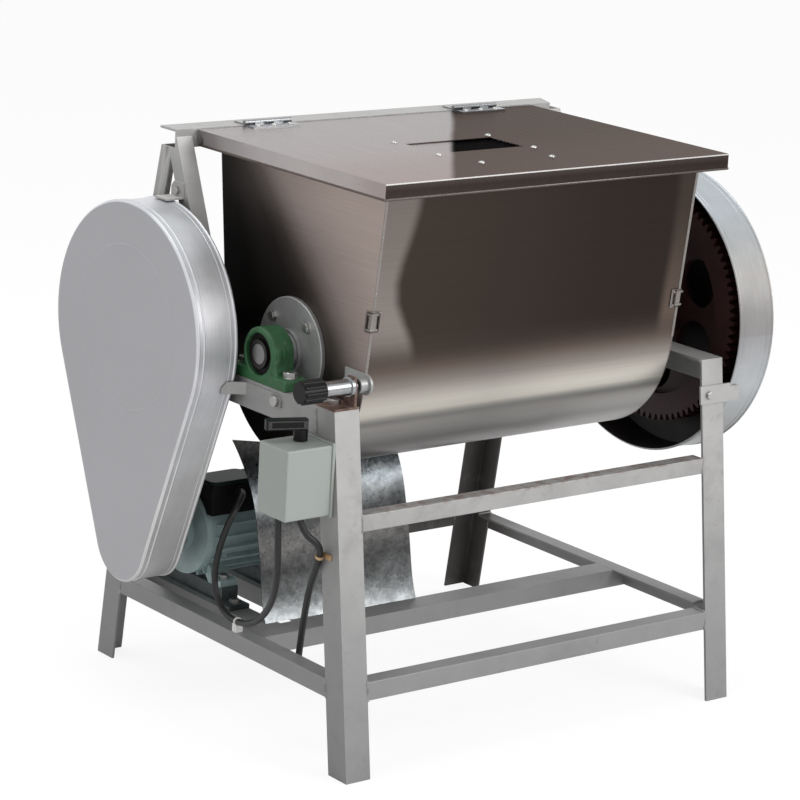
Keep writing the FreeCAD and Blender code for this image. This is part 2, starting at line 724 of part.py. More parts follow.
def hinge_leaf(left, on_lid):
    """One leaf with its own knuckles, of five along the pin."""
    bottom = LID_TOP if on_lid else BAR_TOP
    away = -1 if on_lid else 1
    near = HINGE_Y + away * (HINGE_R + 0.4)
    far = HINGE_Y + away * HINGE_WIDTH
    y0, y1 = sorted((near, far))
    shape = block(left, left + HINGE_LENGTH, y0, y1, bottom, bottom + HINGE_LEAF)
    step = HINGE_LENGTH / 5
    own = (1, 3) if on_lid else (0, 2, 4)
    for index in own:
        a = left + index * step + (0.0 if index == 0 else 0.15)
        b = left + (index + 1) * step - (0.0 if index == 4 else 0.15)
        inner = HINGE_Y + away * 0.8
        t0, t1 = sorted((near, inner))
        shape = shape.fuse(block(a, b, t0, t1, bottom, HINGE_Z - 1.0))
        shape = shape.fuse(rod(HINGE_R, a, b, HINGE_Y, HINGE_Z))
    shape = shape.cut(rod(HINGE_PIN_R + RUN_FIT, left, left + HINGE_LENGTH, HINGE_Y, HINGE_Z))
    for x, y in hinge_screws(HINGE_Y - 19.0 if on_lid else HINGE_Y + 21.0):
        shape = shape.cut(pin(SCREW_R, x, y, bottom, bottom + HINGE_LEAF))
    return shape.removeSplitter().Solids[0]


def hinge_pins():
    return [rod(HINGE_PIN_R, left - 1.5, left + HINGE_LENGTH + 1.5, HINGE_Y, HINGE_Z)
            for left in HINGE_LEFTS]


def screws(on_lid):
    bottom = (LID_TOP if on_lid else BAR_TOP) + HINGE_LEAF
    deep = LID_SHEET + 3.0 if on_lid else BAR_WALL
    pieces = []
    for x, y in hinge_screws(HINGE_Y - 19.0 if on_lid else HINGE_Y + 21.0):
        head = Part.makeSphere(5.2, V(x, y, bottom - 3.2))
        head = head.common(pin(6.0, x, y, bottom, bottom + 4.0))
        pieces.append(join(head, pin(SCREW_R, x, y, bottom - HINGE_LEAF - deep, bottom)))
    return pieces


# Agitator
def agitator_shaft():
    shaft = rod(SHAFT_R, AGITATOR_LEFT, SHAFT_RIGHT, SHAFT_Y, SHAFT_Z)
    sleeve = rod(SLEEVE_R, STIR_LEFT - 22, STIR_RIGHT + 22, SHAFT_Y, SHAFT_Z)
    return join(shaft, sleeve)


def stir_point(x, start):
    """Where one straight mixing bar passes a station, and its turn about the shaft."""
    share = (x - STIR_LEFT) / (STIR_RIGHT - STIR_LEFT)
    a = math.radians(start)
    b = math.radians(start + STIR_TWIST)
    y = SWEEP_R * ((1 - share) * math.cos(a) + share * math.cos(b))
    z = SWEEP_R * ((1 - share) * math.sin(a) + share * math.sin(b))
    return y, z


def stir_bar(start):
    y0, z0 = stir_point(STIR_LEFT - 8, start)
    y1, z1 = stir_point(STIR_RIGHT + 8, start)
    a = V(STIR_LEFT - 8, SHAFT_Y + y0, SHAFT_Z + z0)
    b = V(STIR_RIGHT + 8, SHAFT_Y + y1, SHAFT_Z + z1)
    return Part.makeCylinder(STIR_R, (b - a).Length, a, b - a)


def agitator_bars():
    return [stir_bar(STIR_START), stir_bar(STIR_START + 180.0)]


def agitator_arm(x, start):
    y, z = stir_point(x, start)
    reach = math.hypot(y, z)
    turn = math.degrees(math.atan2(z, y))
    hub = rod(SLEEVE_R + 12, x - 15, x + 15, SHAFT_Y, SHAFT_Z)
    arm = slab_x([(-reach, -11), (0, -20), (reach, -11), (reach, 11), (0, 20), (-reach, 11)],
                 x - 8, x + 8)
    arm = turned(moved(arm, 0, SHAFT_Y, SHAFT_Z), 0, SHAFT_Y, SHAFT_Z, (1, 0, 0), turn)
    shape = hub.fuse(arm).cut(rod(SLEEVE_R, x - 15, x + 15, SHAFT_Y, SHAFT_Z))
    for bar in agitator_bars():
        shape = shape.cut(bar)
    return max(shape.removeSplitter().Solids, key=lambda piece: piece.Volume)


def agitator_arms():
    middle = (STIR_LEFT + STIR_RIGHT) / 2
    return [agitator_arm(x, STIR_START) for x in (STIR_LEFT, middle, STIR_RIGHT)]


# Gear pair
def involute(radius, base):
    turn = math.acos(min(1.0, base / radius))
    return math.tan(turn) - turn


def gear_outline(teeth, y, z, phase):
    """Involute flanks drawn through the root, pitch and tip circles."""
    pitch = MODULE * teeth / 2
    base = pitch * math.cos(math.radians(PRESSURE))
    root = pitch - 1.25 * MODULE
    tip = pitch + MODULE
    half = math.pi / (2 * teeth) - PLAY / pitch / 2 + involute(pitch, base)
    stations = [root, pitch - MODULE / 2, pitch, tip]
    points = []
    for tooth in range(teeth):
        middle = phase + 2 * math.pi * tooth / teeth
        flank = [(r, half - involute(max(r, base), base)) for r in stations]
        for radius, spread in flank:
            points.append((radius, middle - spread))
        for radius, spread in reversed(flank):
            points.append((radius, middle + spread))
    return [(y + r * math.cos(a), z + r * math.sin(a)) for r, a in points]


def spoke_holes(shape, x0, x1, y, z, reach, radius):
    for step in range(6):
        turn = math.radians(60.0 * step + 30.0)
        shape = shape.cut(rod(radius, x0, x1, y + reach * math.cos(turn), z + reach * math.sin(turn)))
    return shape


def ring_gear():
    y, z = SHAFT_Y, SHAFT_Z
    teeth = slab_x(gear_outline(WHEEL_TEETH, y, z, math.pi / WHEEL_TEETH), GEAR_LEFT, GEAR_RIGHT)
    for x0, x1 in ((GEAR_LEFT, GEAR_LEFT + 15), (GEAR_RIGHT - 15, GEAR_RIGHT)):
        teeth = teeth.cut(ring(165.0, 62.0, x0, x1, y, z))
    teeth = spoke_holes(teeth, GEAR_LEFT, GEAR_RIGHT, y, z, 114.0, 45.0)
    hub = rod(42.0, GEAR_LEFT - 12, GEAR_RIGHT + 3, y, z)
    return join(teeth, hub).cut(rod(SHAFT_R, GEAR_LEFT - 12, GEAR_RIGHT + 3, y, z)).Solids[0]


def pinion():
    y, z = COUNTER_Y, SHAFT_Z
    teeth = slab_x(gear_outline(PINION_TEETH, y, z, math.pi), GEAR_LEFT, GEAR_RIGHT)
    hub = rod(30.0, GEAR_LEFT - 14, GEAR_LEFT, y, z)
    return join(teeth, hub).cut(rod(SHAFT_R, GEAR_LEFT - 14, GEAR_RIGHT, y, z)).Solids[0]


def countershaft():
    return rod(SHAFT_R, COUNTER_LEFT, SHAFT_RIGHT, COUNTER_Y, SHAFT_Z)


# Belt drive
def belt_middles():
    middle = (PULLEY_LEFT + PULLEY_RIGHT) / 2
    return (middle - BELT_SPACE / 2, middle + BELT_SPACE / 2)


def pulley_outline(radius, inner):
    """Half the pulley's section, with two V grooves, as pairs of place and radius."""
    slope = math.tan(math.radians(18.0))
    top = BELT_WIDE / 2 + SHAFT_GAP + BELT_SINK * slope
    deep = BELT_DEEP + BELT_SINK + 2.0
    low = top - deep * slope
    points = [(PULLEY_LEFT, inner), (PULLEY_LEFT, radius)]
    for middle in belt_middles():
        points += [(middle - top, radius), (middle - low, radius - deep),
                   (middle + low, radius - deep), (middle + top, radius)]
    return points + [(PULLEY_RIGHT, radius), (PULLEY_RIGHT, inner)]


def turned_section(points, y, z):
    outline = face([(x, y, z + r) for x, r in points])
    return outline.revolve(V(0, y, z), V(1, 0, 0), 360.0)


def big_pulley():
    y, z = COUNTER_Y, SHAFT_Z
    rim = turned_section(pulley_outline(PULLEY_R, 158.0), y, z)
    middle = (PULLEY_LEFT + PULLEY_RIGHT) / 2
    web = rod(160.0, middle - 6, middle + 6, y, z)
    web = spoke_holes(web, middle - 6, middle + 6, y, z, 106.0, 42.0)
    hub = rod(54.0, PULLEY_LEFT, PULLEY_RIGHT + 8, y, z)
    shape = rim.fuse([web, hub]).removeSplitter()
    return shape.cut(rod(SHAFT_R, PULLEY_LEFT - 1, PULLEY_RIGHT + 9, y, z)).Solids[0]


def motor_pulley():
    return turned_section(pulley_outline(SMALL_PULLEY_R, MOTOR_SHAFT_R), MOTOR_Y, MOTOR_Z)


def v_belt(middle):
    """One belt: the wrap at its outer and inner faces, wedged towards the inside."""
    slope = math.tan(math.radians(18.0))
    big = (COUNTER_Y, SHAFT_Z)
    small = (MOTOR_Y, MOTOR_Z)
    top = PULLEY_R - BELT_SINK
    tip = SMALL_PULLEY_R - BELT_SINK
    half = BELT_WIDE / 2
    narrow = half - BELT_DEEP * slope
    outer_left = drop_outline(middle - half, big, top, small, tip)
    outer_right = drop_outline(middle + half, big, top, small, tip)
    inner_left = drop_outline(middle - narrow, big, top - BELT_DEEP, small, tip - BELT_DEEP)
    inner_right = drop_outline(middle + narrow, big, top - BELT_DEEP, small, tip - BELT_DEEP)
    faces = []
    for first, second in ((outer_left, outer_right), (inner_left, inner_right),
                          (outer_left, inner_left), (outer_right, inner_right)):
        for a, b in zip(first.Edges, second.Edges):
            faces.append(Part.makeRuledSurface(a, b))
    solid = Part.makeSolid(Part.makeShell(faces))
    if solid.Volume < 0:
        solid.reverse()
    return solid


# Guards
def guard_beads(x_edges, outline):
    pieces = []
    for x0, x1 in x_edges:
        pieces.append(outline(x0, x1, GUARD_BEAD).cut(outline(x0, x1, 0.0)))
    return pieces


def belt_drop(x0, x1, grow):
    return drop(x0, x1, (BELT_GUARD_Y, SHAFT_Z - 0.9), BELT_GUARD_R + grow,
                (BELT_GUARD_TIP_Y, MOTOR_Z), BELT_GUARD_TIP_R + grow)


def belt_guard():
    shell = belt_drop(BELT_GUARD_FACE, BELT_GUARD_RIM, 0.0)
    hollow = belt_drop(BELT_GUARD_FACE + GUARD_SHEET, BELT_GUARD_RIM, -GUARD_SHEET)
    beads = guard_beads(((BELT_GUARD_FACE, BELT_GUARD_FACE + 5), (BELT_GUARD_FACE + 12, BELT_GUARD_FACE + 16),
                         (BELT_GUARD_RIM - 6, BELT_GUARD_RIM)), belt_drop)
    pressed = ring(PRESSING_R, PRESSING_R - 4, BELT_GUARD_FACE - 1.0, BELT_GUARD_FACE,
                   BELT_GUARD_Y, SHAFT_Z)
    return shell.cut(hollow).fuse(beads + [pressed]).removeSplitter().Solids[0]


def guard_strap():
    """The flat strap from the belt guard's edge along the left top rail."""
    near = LEFT - STRAP_THICK
    bend = STRAP_BOLT_Y + 86.0
    end = STRAP_BOLT_Y - 13.0
    outline = [
        (LEFT, bend + 3), (LEFT - 17.0, bend + 16), (LEFT - 40.0, bend + 23), (LEFT - 40.0, bend + 19),
        (LEFT - 19.0, bend + 12), (near, bend), (near, end), (LEFT, end),
    ]
    strap = slab_z(outline, STRAP_LOW, STRAP_HIGH)
    strap = strap.cut(belt_drop(BELT_GUARD_FACE, BELT_GUARD_RIM, GUARD_BEAD))
    strap = max(strap.Solids, key=lambda piece: piece.Volume)
    nose = slab_x([(end, STRAP_HIGH), (end + 12, STRAP_HIGH), (end, STRAP_HIGH - 9.0)], near, LEFT)
    strap = strap.cut(nose)
    return strap.cut(rod(GUARD_BOLT_R, near, LEFT, STRAP_BOLT_Y, STRAP_BOLT_Z)).Solids[0]


def guard_lug():
    """The upper lug of the belt guard, on the outside of the left front post."""
    near = LEFT - STRAP_THICK
    far = LUG_Y + LUG_WIDE
    plate = slab_x([(LUG_Y, LUG_Z), (far, LUG_Z), (far, LUG_Z + 19), (far - 8, LUG_Z + 28),
                    (LUG_Y, LUG_Z + 28)], near, LEFT)
    foot = block(BELT_GUARD_RIM - 22, LEFT, LUG_Y, far, LUG_Z, LUG_Z + STRAP_THICK)
    shape = plate.fuse(foot).removeSplitter()
    return shape.cut(rod(GUARD_BOLT_R, near, LEFT, LUG_BOLT[0], LUG_BOLT[1])).Solids[0]


def gear_drop(x0, x1, grow):
    return drop(x0, x1, (GEAR_GUARD_Y, GEAR_GUARD_Z), GEAR_GUARD_R + grow,
                (COUNTER_Y, SHAFT_Z), GEAR_GUARD_TAIL_R + grow)


def gear_guard():
    shell = gear_drop(GEAR_GUARD_RIM, GEAR_GUARD_FACE, 0.0)
    hollow = gear_drop(GEAR_GUARD_RIM, GEAR_GUARD_FACE - GUARD_SHEET, -GUARD_SHEET)
    beads = guard_beads(((GEAR_GUARD_RIM, GEAR_GUARD_RIM + 5), (GEAR_GUARD_FACE - 5, GEAR_GUARD_FACE)),
                        gear_drop)
    return shell.cut(hollow).fuse(beads).removeSplitter().Solids[0]


def guard_tab():
    """The tab of the gear guard, bolted on the right front leg."""
    y = front_of_leg(TAB_LOW)
    end = GEAR_GUARD_RIM + 20
    outline = [(TAB_LEFT, y - 4.0), (end, y - 4.0), (end, y), (TAB_LEFT, y)]
    tab = leaning(outline, TAB_LOW, TAB_HIGH, LEAN)
    tab = tab.cut(gear_drop(GEAR_GUARD_RIM, GEAR_GUARD_FACE, GUARD_BEAD))
    tab = max(tab.Solids, key=lambda piece: piece.Volume)
    middle = (TAB_LOW + TAB_HIGH) / 2
    return tab.cut(dowel(GUARD_BOLT_R, TAB_BOLT_X, middle, y - 20, y + 20)).Solids[0]


def lying_bolt(end, nut_top, axis, degrees, x, y, z):
    upright = hex_bolt(GUARD_BOLT_R, 5.5, 0.0, end, nut_top, 0.0, 0.0)
    return [moved(turned(piece, 0, 0, 0, axis, degrees), x, y, z) for piece in upright]


def guard_bolts():
    """The three bolts that hold the guards."""
    near = LEFT - STRAP_THICK
    middle = (TAB_LOW + TAB_HIGH) / 2
    strap = lying_bolt(-14.0, -8.0, (0, 1, 0), -90.0, near, STRAP_BOLT_Y, STRAP_BOLT_Z)
    lug = lying_bolt(-12.0, -6.0, (0, 1, 0), -90.0, near, LUG_BOLT[0], LUG_BOLT[1])
    tab = lying_bolt(-18.0, -11.0, (1, 0, 0), 90.0, TAB_BOLT_X, front_of_leg(middle) - 5.0, middle)
    return strap + lug + tab


# Motor
def motor_body():
    x0, x1 = MOTOR_FACE + 25, MOTOR_FACE + 200
    y, z = MOTOR_Y, MOTOR_Z
    shape = rod(MOTOR_R, x0, x1, y, z)
    fins = []
    for step in range(-5, 6):
        for side in (-1, 1):
            turn = 15.0 * step + (180.0 if side < 0 else 0.0)
            fin = block(x0 + 8, x1 - 8, y + MOTOR_R - 4, y + MOTOR_FIN_R, z - 1.8, z + 1.8)
            if abs(step) < 3 or side > 0 or step > 0:
                fins.append(turned(fin, 0, y, z, (1, 0, 0), turn))
    shape = shape.fuse(fins)
    base = z - MOTOR_RISE
    for x in MOTOR_FEET:
        foot = slab_x([(y - 88, base), (y - 50, base), (y - 38, base + 16), (y + 38, base + 16),
                       (y + 50, base), (y + 88, base), (y + 88, base + 11), (y + 59, base + 11),
                       (y + 50, base + 48), (y - 50, base + 48), (y - 59, base + 11),
                       (y - 88, base + 11)], x - 18, x + 18)
        shape = shape.fuse(foot)
    for x, py in foot_bolts():
        shape = shape.cut(pin(5.0, x, py, base, base + 60))
    shape = shape.cut(rod(ROTOR_R + 1, x0, x1, y, z))
    return shape.removeSplitter().Solids[0]


def foot_bolts():
    return [(x, MOTOR_Y + side * MOTOR_FOOT_Y) for x in MOTOR_FEET for side in (-1, 1)]


def motor_end(x0, x1, nose):
    y, z = MOTOR_Y, MOTOR_Z
    low, high = sorted((x0, nose))
    bell = rod(MOTOR_R + 3, min(x0, x1), max(x0, x1), y, z)
    bell = bell.fuse(rod(38.0, low, high, y, z)).removeSplitter()
    return bell.cut(rod(MOTOR_SHAFT_R + 8, min(x0, x1, nose), max(x0, x1, nose), y, z)).Solids[0]


def motor_ends():
    drive = motor_end(MOTOR_FACE + 12, MOTOR_FACE + 25, MOTOR_FACE)
    back = motor_end(MOTOR_FACE + 200, MOTOR_FACE + 216, MOTOR_FACE + 216)
    return [drive, back]


def motor_bearings():
    y, z = MOTOR_Y, MOTOR_Z
    outer = MOTOR_SHAFT_R + 8
    inner = MOTOR_SHAFT_R + SHAFT_GAP
    return [ring(outer, inner, MOTOR_FACE + 3, MOTOR_FACE + 18, y, z),
            ring(outer, inner, MOTOR_FACE + 200, MOTOR_FACE + 214, y, z)]


def motor_fan_cover():
    y, z = MOTOR_Y, MOTOR_Z
    x0, x1 = MOTOR_FACE + 208, MOTOR_FACE + 284
    shape = rod(MOTOR_R + 5, x0, x1, y, z).cut(rod(MOTOR_R + 3, x0, x1 - 2, y, z))
    for ring_r, count in ((22.0, 6), (42.0, 10), (62.0, 14)):
        for step in range(count):
            turn = 2 * math.pi * step / count
            shape = shape.cut(rod(5.0, x1 - 2, x1, y + ring_r * math.cos(turn),
                                  z + ring_r * math.sin(turn)))
    return shape.Solids[0]


def motor_rotor():
    y, z = MOTOR_Y, MOTOR_Z
    shaft = rod(MOTOR_SHAFT_R, MOTOR_FACE - 97, MOTOR_FACE + 262, y, z)
    core = rod(ROTOR_R, MOTOR_FACE + 40, MOTOR_FACE + 185, y, z)
    return join(shaft, core)


def motor_fan():
    y, z = MOTOR_Y, MOTOR_Z
    x0 = MOTOR_FACE + 232
    shape = rod(26.0, x0, x0 + 24, y, z).fuse(rod(70.0, x0, x0 + 3, y, z))
    for step in range(7):
        blade = block(x0, x0 + 22, y + 24, y + 70, z - 1.5, z + 1.5)
        shape = shape.fuse(turned(blade, 0, y, z, (1, 0, 0), 360.0 / 7 * step))
    return shape.removeSplitter().cut(rod(MOTOR_SHAFT_R, x0, x0 + 24, y, z)).Solids[0]


def terminal_box():
    y, z = MOTOR_Y, MOTOR_Z
    box = block(BOX_LEFT, BOX_RIGHT, BOX_FRONT, BOX_REAR, BOX_LOW, BOX_HIGH)
    box = box.cut(rod(MOTOR_R, MOTOR_FACE + 25, MOTOR_FACE + 200, y, z))
    box = box.cut(rod(MOTOR_R + 3, MOTOR_FACE, MOTOR_FACE + 25, y, z))
    box = box.cut(motor_body())
    return max(box.Solids, key=lambda piece: piece.Volume)


def terminal_cover():
    lid_shape = block(BOX_LEFT - 2, BOX_RIGHT + 2, BOX_FRONT - 2, BOX_REAR + 2, BOX_HIGH, BOX_HIGH + 7)
    upright = [edge for edge in lid_shape.Edges
               if abs(edge.BoundBox.ZLength - 7.0) < 0.1]
    return lid_shape.makeFillet(14.0, upright)


def cable_gland():
    x, y, z = MOTOR_LEAD[-1]
    nut = turned(hex_prism(18.0, x, y, z - 10.0, z), x, y, z, (1, 0, 0), -90.0)
    body = nut.cut(dowel(LEAD_R, x, z, y - 10.0, y))
    return body.Solids[0]


def motor_bars():
    """Two angle bars between the cross rail and the rear lower rail."""
    pieces = []
    front = CROSS_FRONT + CROSS_WIDTH
    rear = back_of_leg(LOW_TOP - LOW_SIZE / 2) - LOW_SIZE
    for x in MOTOR_FEET:
        outline = angle(x - 22, LOW_TOP, 1, -1, 44.0, LOW_SIZE, LOW_WALL)
        bar = slab_y(outline, front, rear)
        for bx, by in rail_bolts():
            bar = bar.cut(pin(5.0, bx, by, LOW_TOP - LOW_WALL, LOW_TOP))
        pieces.append(bar)
    return pieces


def rail_bolts():
    return [(x, y) for x in MOTOR_FEET for y in (SLIDE_FRONT + 16, SLIDE_REAR - 16)]


def motor_slides():
    """The two slide rails that the motor's feet are bolted on."""
    pieces = []
    top = MOTOR_Z - MOTOR_RISE
    for x in MOTOR_FEET:
        outline = [(x - 22, LOW_TOP), (x + 22, LOW_TOP), (x + 22, LOW_TOP + 8), (x + 17, LOW_TOP + 10),
                   (x + 17, top), (x - 17, top), (x - 17, LOW_TOP + 10), (x - 22, LOW_TOP + 8)]
        rail = slab_y(outline, SLIDE_FRONT, SLIDE_REAR)
        rail = rail.cut(block(x - 17, x + 17, SLIDE_FRONT, SLIDE_FRONT + 30, LOW_TOP + 10, top))
        rail = rail.cut(block(x - 17, x + 17, SLIDE_REAR - 30, SLIDE_REAR, LOW_TOP + 10, top))
        for bx, by in foot_bolts():
            rail = rail.cut(pin(5.0, bx, by, top - 24, top))
        for bx, by in rail_bolts():
            rail = rail.cut(pin(5.0, bx, by, LOW_TOP, LOW_TOP + 10))
        pieces.append(rail.Solids[0])
    return pieces


def motor_foot_bolts():
    pieces = []
    base = MOTOR_Z - MOTOR_RISE
    for x, y in foot_bolts():
        pieces.append(join(hex_prism(16.0, x, y, base + 11, base + 18),
                           pin(5.0, x, y, base - 24, base + 11)))
    for x, y in rail_bolts():
        pieces += hex_bolt(5.0, 7.0, LOW_TOP + 10, LOW_TOP - 16, LOW_TOP - LOW_WALL, x, y)
    return pieces


# Bent sheet in front of the motor
def sheet_edge(x, points):
    curve = Part.BSplineCurve()
    curve.interpolate([V(x, y, z) for y, z in points])
    return curve.toShape()


def motor_shield():
    left = sheet_edge(MOTOR_FACE + 53.0, [(-41.0, LOW_TOP), (-27.0, 205.0), (-20.0, 255.0), (-6.0, 317.0),
                               (11.0, 374.0), (37.0, 417.0), (81.0, 464.0)])
    right = sheet_edge(MOTOR_FACE + 375.0, [(-52.0, LOW_TOP), (-37.0, 205.0), (-25.0, 265.0), (-12.0, 317.0),
                               (4.0, 374.0), (14.0, 397.0), (26.0, 418.0)])
    return Part.makeRuledSurface(left, right).extrude(V(0, 1.2, 0))


# Switch box
def switch_base():
    return block(SWITCH_BACK, LEFT, SWITCH_FRONT - 3, SWITCH_REAR + 3,
                 SWITCH_BOTTOM - 3, SWITCH_TOP + 3)


def switch_cover():
    x0, x1 = SWITCH_LEFT, SWITCH_BACK
    wall = SWITCH_WALL
    shape = block(x0, x1, SWITCH_FRONT, SWITCH_REAR, SWITCH_BOTTOM, SWITCH_TOP)
    soft = [edge for edge in shape.Edges if edge.BoundBox.XMax < x1 - 1 or edge.BoundBox.XLength > 1]
    shape = shape.makeFillet(4.0, soft)
    hollow = block(x0 + wall, x1, SWITCH_FRONT + wall, SWITCH_REAR - wall,
                   SWITCH_BOTTOM + wall, SWITCH_TOP - wall)
    shape = shape.cut(hollow)
    shape = shape.cut(pin(STEM_R + SHAFT_GAP, SWITCH_STEM[0], SWITCH_STEM[1], SWITCH_TOP - 4, SWITCH_TOP + 1))
    for route in (MOTOR_LEAD, SUPPLY_LEAD):
        start = V(*route[0])
        along = (V(*route[1]) - start).normalize()
        shape = shape.cut(Part.makeCylinder(LEAD_R, 12.0, start - along * 2.0, along))
    return shape.Solids[0]


def switch_drum():
    x, y = SWITCH_STEM
    drum = pin(DRUM_R, x, y, SWITCH_BOTTOM + 18, SWITCH_TOP - 12)
    return join(drum, pin(STEM_R, x, y, SWITCH_TOP - 12, SWITCH_TOP + 8))


def switch_handle():
    x, y = SWITCH_STEM
    bar = block(x - 60, x + 11, y - 9, y + 9, SWITCH_TOP + 20, SWITCH_TOP + 37)
    long_edges = [edge for edge in bar.Edges if edge.BoundBox.XLength < 1 and edge.BoundBox.ZLength > 1]
    bar = bar.makeFillet(4.0, long_edges)
    stem = pin(12.0, x, y, SWITCH_TOP + 1.0, SWITCH_TOP + 20)
    shape = join(bar, stem)
    shape = shape.cut(pin(STEM_R, x, y, SWITCH_TOP + 1, SWITCH_TOP + 8)).Solids[0]
    return turned(shape, x, y, 0, (0, 0, 1), -21.0)


# Leads
def lead(points, name):
    """A round lead: straight runs with a tangent arc at each corner."""
    nodes = [V(*point) for point in points]
    edges = []
    start = nodes[0]
    smallest = 1e9
    for before, corner, after in zip(nodes, nodes[1:], nodes[2:]):
        into = (corner - before)
        out = (after - corner)
        reach = 0.45 * min(into.Length, out.Length)
        into.normalize()
        out.normalize()
        turn = into.getAngle(out)
        first = corner - into * reach
        last = corner + out * reach
        radius = reach / math.tan(turn / 2)
        smallest = min(smallest, radius)
        towards = (out - into)
        towards.normalize()
        centre = corner + towards * math.hypot(reach, radius)
        middle = centre - towards * radius
        edges.append(Part.makeLine(start, first))
        edges.append(Part.Arc(first, middle, last).toShape())
        start = last
    edges.append(Part.makeLine(start, nodes[-1]))
    path = Part.Wire(edges)
    direction = nodes[1] - nodes[0]
    section = Part.Wire(Part.makeCircle(LEAD_R, nodes[0], direction))
    print(name, "smallest radius", round(smallest, 1), "length", round(path.Length, 1))
    return path.makePipeShell([section], True, False)


def saddle(before, after, inner, outer, width):
    """A band round the middle of one straight run of a lead."""
    a = V(*before)
    b = V(*after)
    along = (b - a).normalize()
    start = (a + b) * 0.5 - along * (width / 2)
    band = Part.makeCylinder(outer, width, start, along)
    return band, Part.makeCylinder(inner, width + 12, start - along * 6, along)


def cable_clip():
    """A saddle clip that holds the supply lead on the left front leg."""
    band, bore = saddle(SUPPLY_LEAD[2], SUPPLY_LEAD[3], LEAD_R + 0.3, LEAD_R + 1.6, 6.0)
    x, y, z = [(a + b) / 2 for a, b in zip(SUPPLY_LEAD[2], SUPPLY_LEAD[3])]
    foot = block(LEFT - 3.6, LEFT, y - 20, y + 4, z - 4, z + 5)
    return join(foot, band).cut(bore).Solids[0]


def cable_tie():
    """A tie on a small base that holds the motor lead above the left lower rail."""
    band, bore = saddle(MOTOR_LEAD[4], MOTOR_LEAD[5], LEAD_R + 0.1, LEAD_R + 1.5, 5.0)
    x, y, z = [(a + b) / 2 for a, b in zip(MOTOR_LEAD[4], MOTOR_LEAD[5])]
    base = block(x - 7, x + 7, y - 6, y + 6, LOW_TOP, z - 3)
    return join(base, band).cut(bore).Solids[0]


def save(name, *pieces):
    shape = pieces[0] if len(pieces) == 1 else Part.makeCompound(list(pieces))
    shape.exportStep("parts/" + name + ".step")


def pair(build):
    return [build(-1), build(1)]


def bored(shape, tool):
    return shape.cut(tool).Solids[0]


def save_stand():
    tab_hole = dowel(4.0, TAB_BOLT_X, (TAB_LOW + TAB_HIGH) / 2, -400, -250)
    save("front_legs", leg(-1, False), bored(leg(1, False), tab_hole))
    save("rear_legs", *pair(lambda side: leg(side, True)))
    strap_hole = rod(4.0, -HALF_LENGTH, -HALF_LENGTH + 5, STRAP_BOLT_Y, STRAP_BOLT_Z)
    lock_hole = pin(LOCK_BOLT_R, *LOCK_BOLT, RAIL_TOP - LEG_WALL, RAIL_TOP)
    save("top_rails", bored(bored(top_rail(-1), strap_hole), lock_hole), top_rail(1))
    save("lower_side_rails", *pair(low_side_rail))
    save("lower_end_rails", low_end_rail(False), low_end_rail(True))
    save("cross_rails", cross_rail(), *motor_bars())
    save("front_middle_rail", front_middle_rail())
    lug_hole = rod(4.0, -HALF_LENGTH, -HALF_LENGTH + 3, *LUG_BOLT)
    save("lid_posts", bored(post(-1, False), lug_hole), post(1, False), *pair(lambda side: post(side, True)))
    save("hinge_crossbar", hinge_crossbar())


def save_bearings():
    places = [(x, y) for x in (-BLOCK_X, BLOCK_X) for y in (SHAFT_Y, COUNTER_Y)]
    save("pillow_blocks", *[block_housing(x, y) for x, y in places])
    save("bearing_inserts", *[bearing_insert(x, y) for x, y in places])
    save("bearing_bolts", *bearing_bolts())
    save("agitator_races", *[inner_race(x, SHAFT_Y) for x in (-BLOCK_X, BLOCK_X)])
    save("countershaft_races", *[inner_race(x, COUNTER_Y) for x in (-BLOCK_X, BLOCK_X)])


def save_trough():
    save("tub_shell", tub_shell())
    save("tub_ends", *pair(tub_end))
    save("end_discs", *pair(end_disc), *pair(hub_collar))
    save("disc_bolts", *disc_bolts())
    save("corner_catches", corner_catch(-1, CATCH_HIGH - 36, CATCH_HIGH, 18.5, 15.0),
         corner_catch(1, CATCH_LOW, CATCH_LOW + 33, 20.0, 15.0))
    save("lock_keeper", lock_keeper())
    save("agitator_shaft", agitator_shaft())
    save("agitator_arms", *agitator_arms())
    save("agitator_bars", *agitator_bars())


def save_lock():
    save("lock_plate", lock_plate())
    save("lock_housing", lock_housing())
    save("lock_plunger", lock_plunger())
    save("lock_knob", lock_knob())


def save_lid():
    save("lid", lid())
    save("port_plate", port_plate())
    save("port_guides", *port_guides())
    save("lid_fasteners", *lid_bolts(), *screws(True))
    save("hinge_lid_leaves", *[hinge_leaf(left, True) for left in HINGE_LEFTS])
    save("hinge_frame_leaves", *[hinge_leaf(left, False) for left in HINGE_LEFTS], *hinge_pins())
    save("hinge_screws", *screws(False))


def save_drive():
    save("ring_gear", ring_gear())
    save("countershaft", countershaft())
    save("pinion", pinion())
    save("big_pulley", big_pulley())
    save("motor_pulley", motor_pulley())
    save("v_belts", *[v_belt(middle) for middle in belt_middles()])
    save("belt_guard", belt_guard())
    save("guard_straps", guard_strap(), guard_lug(), guard_tab())
    save("gear_guard", gear_guard())
    save("stand_bolts", *guard_bolts(), lock_bolt(), *motor_foot_bolts())


def save_motor():
    save("motor_body", motor_body(), *motor_ends(), *motor_bearings())
    save("motor_fan_cover", motor_fan_cover())
    save("motor_rotor", motor_rotor())
    save("motor_fan", motor_fan())
    save("terminal_box", terminal_box(), cable_gland())
    save("terminal_cover", terminal_cover())
    save("motor_slides", *motor_slides())
    save("motor_shield", motor_shield())


def save_switch():
    save("switch_base", switch_base())
    save("switch_cover", switch_cover())
    save("switch_drum", switch_drum())
    save("switch_handle", switch_handle())
    save("motor_lead", lead(MOTOR_LEAD, "motor lead"))
    save("supply_lead", lead(SUPPLY_LEAD, "supply lead"))
    save("cable_clip", cable_clip())
    save("cable_tie", cable_tie())


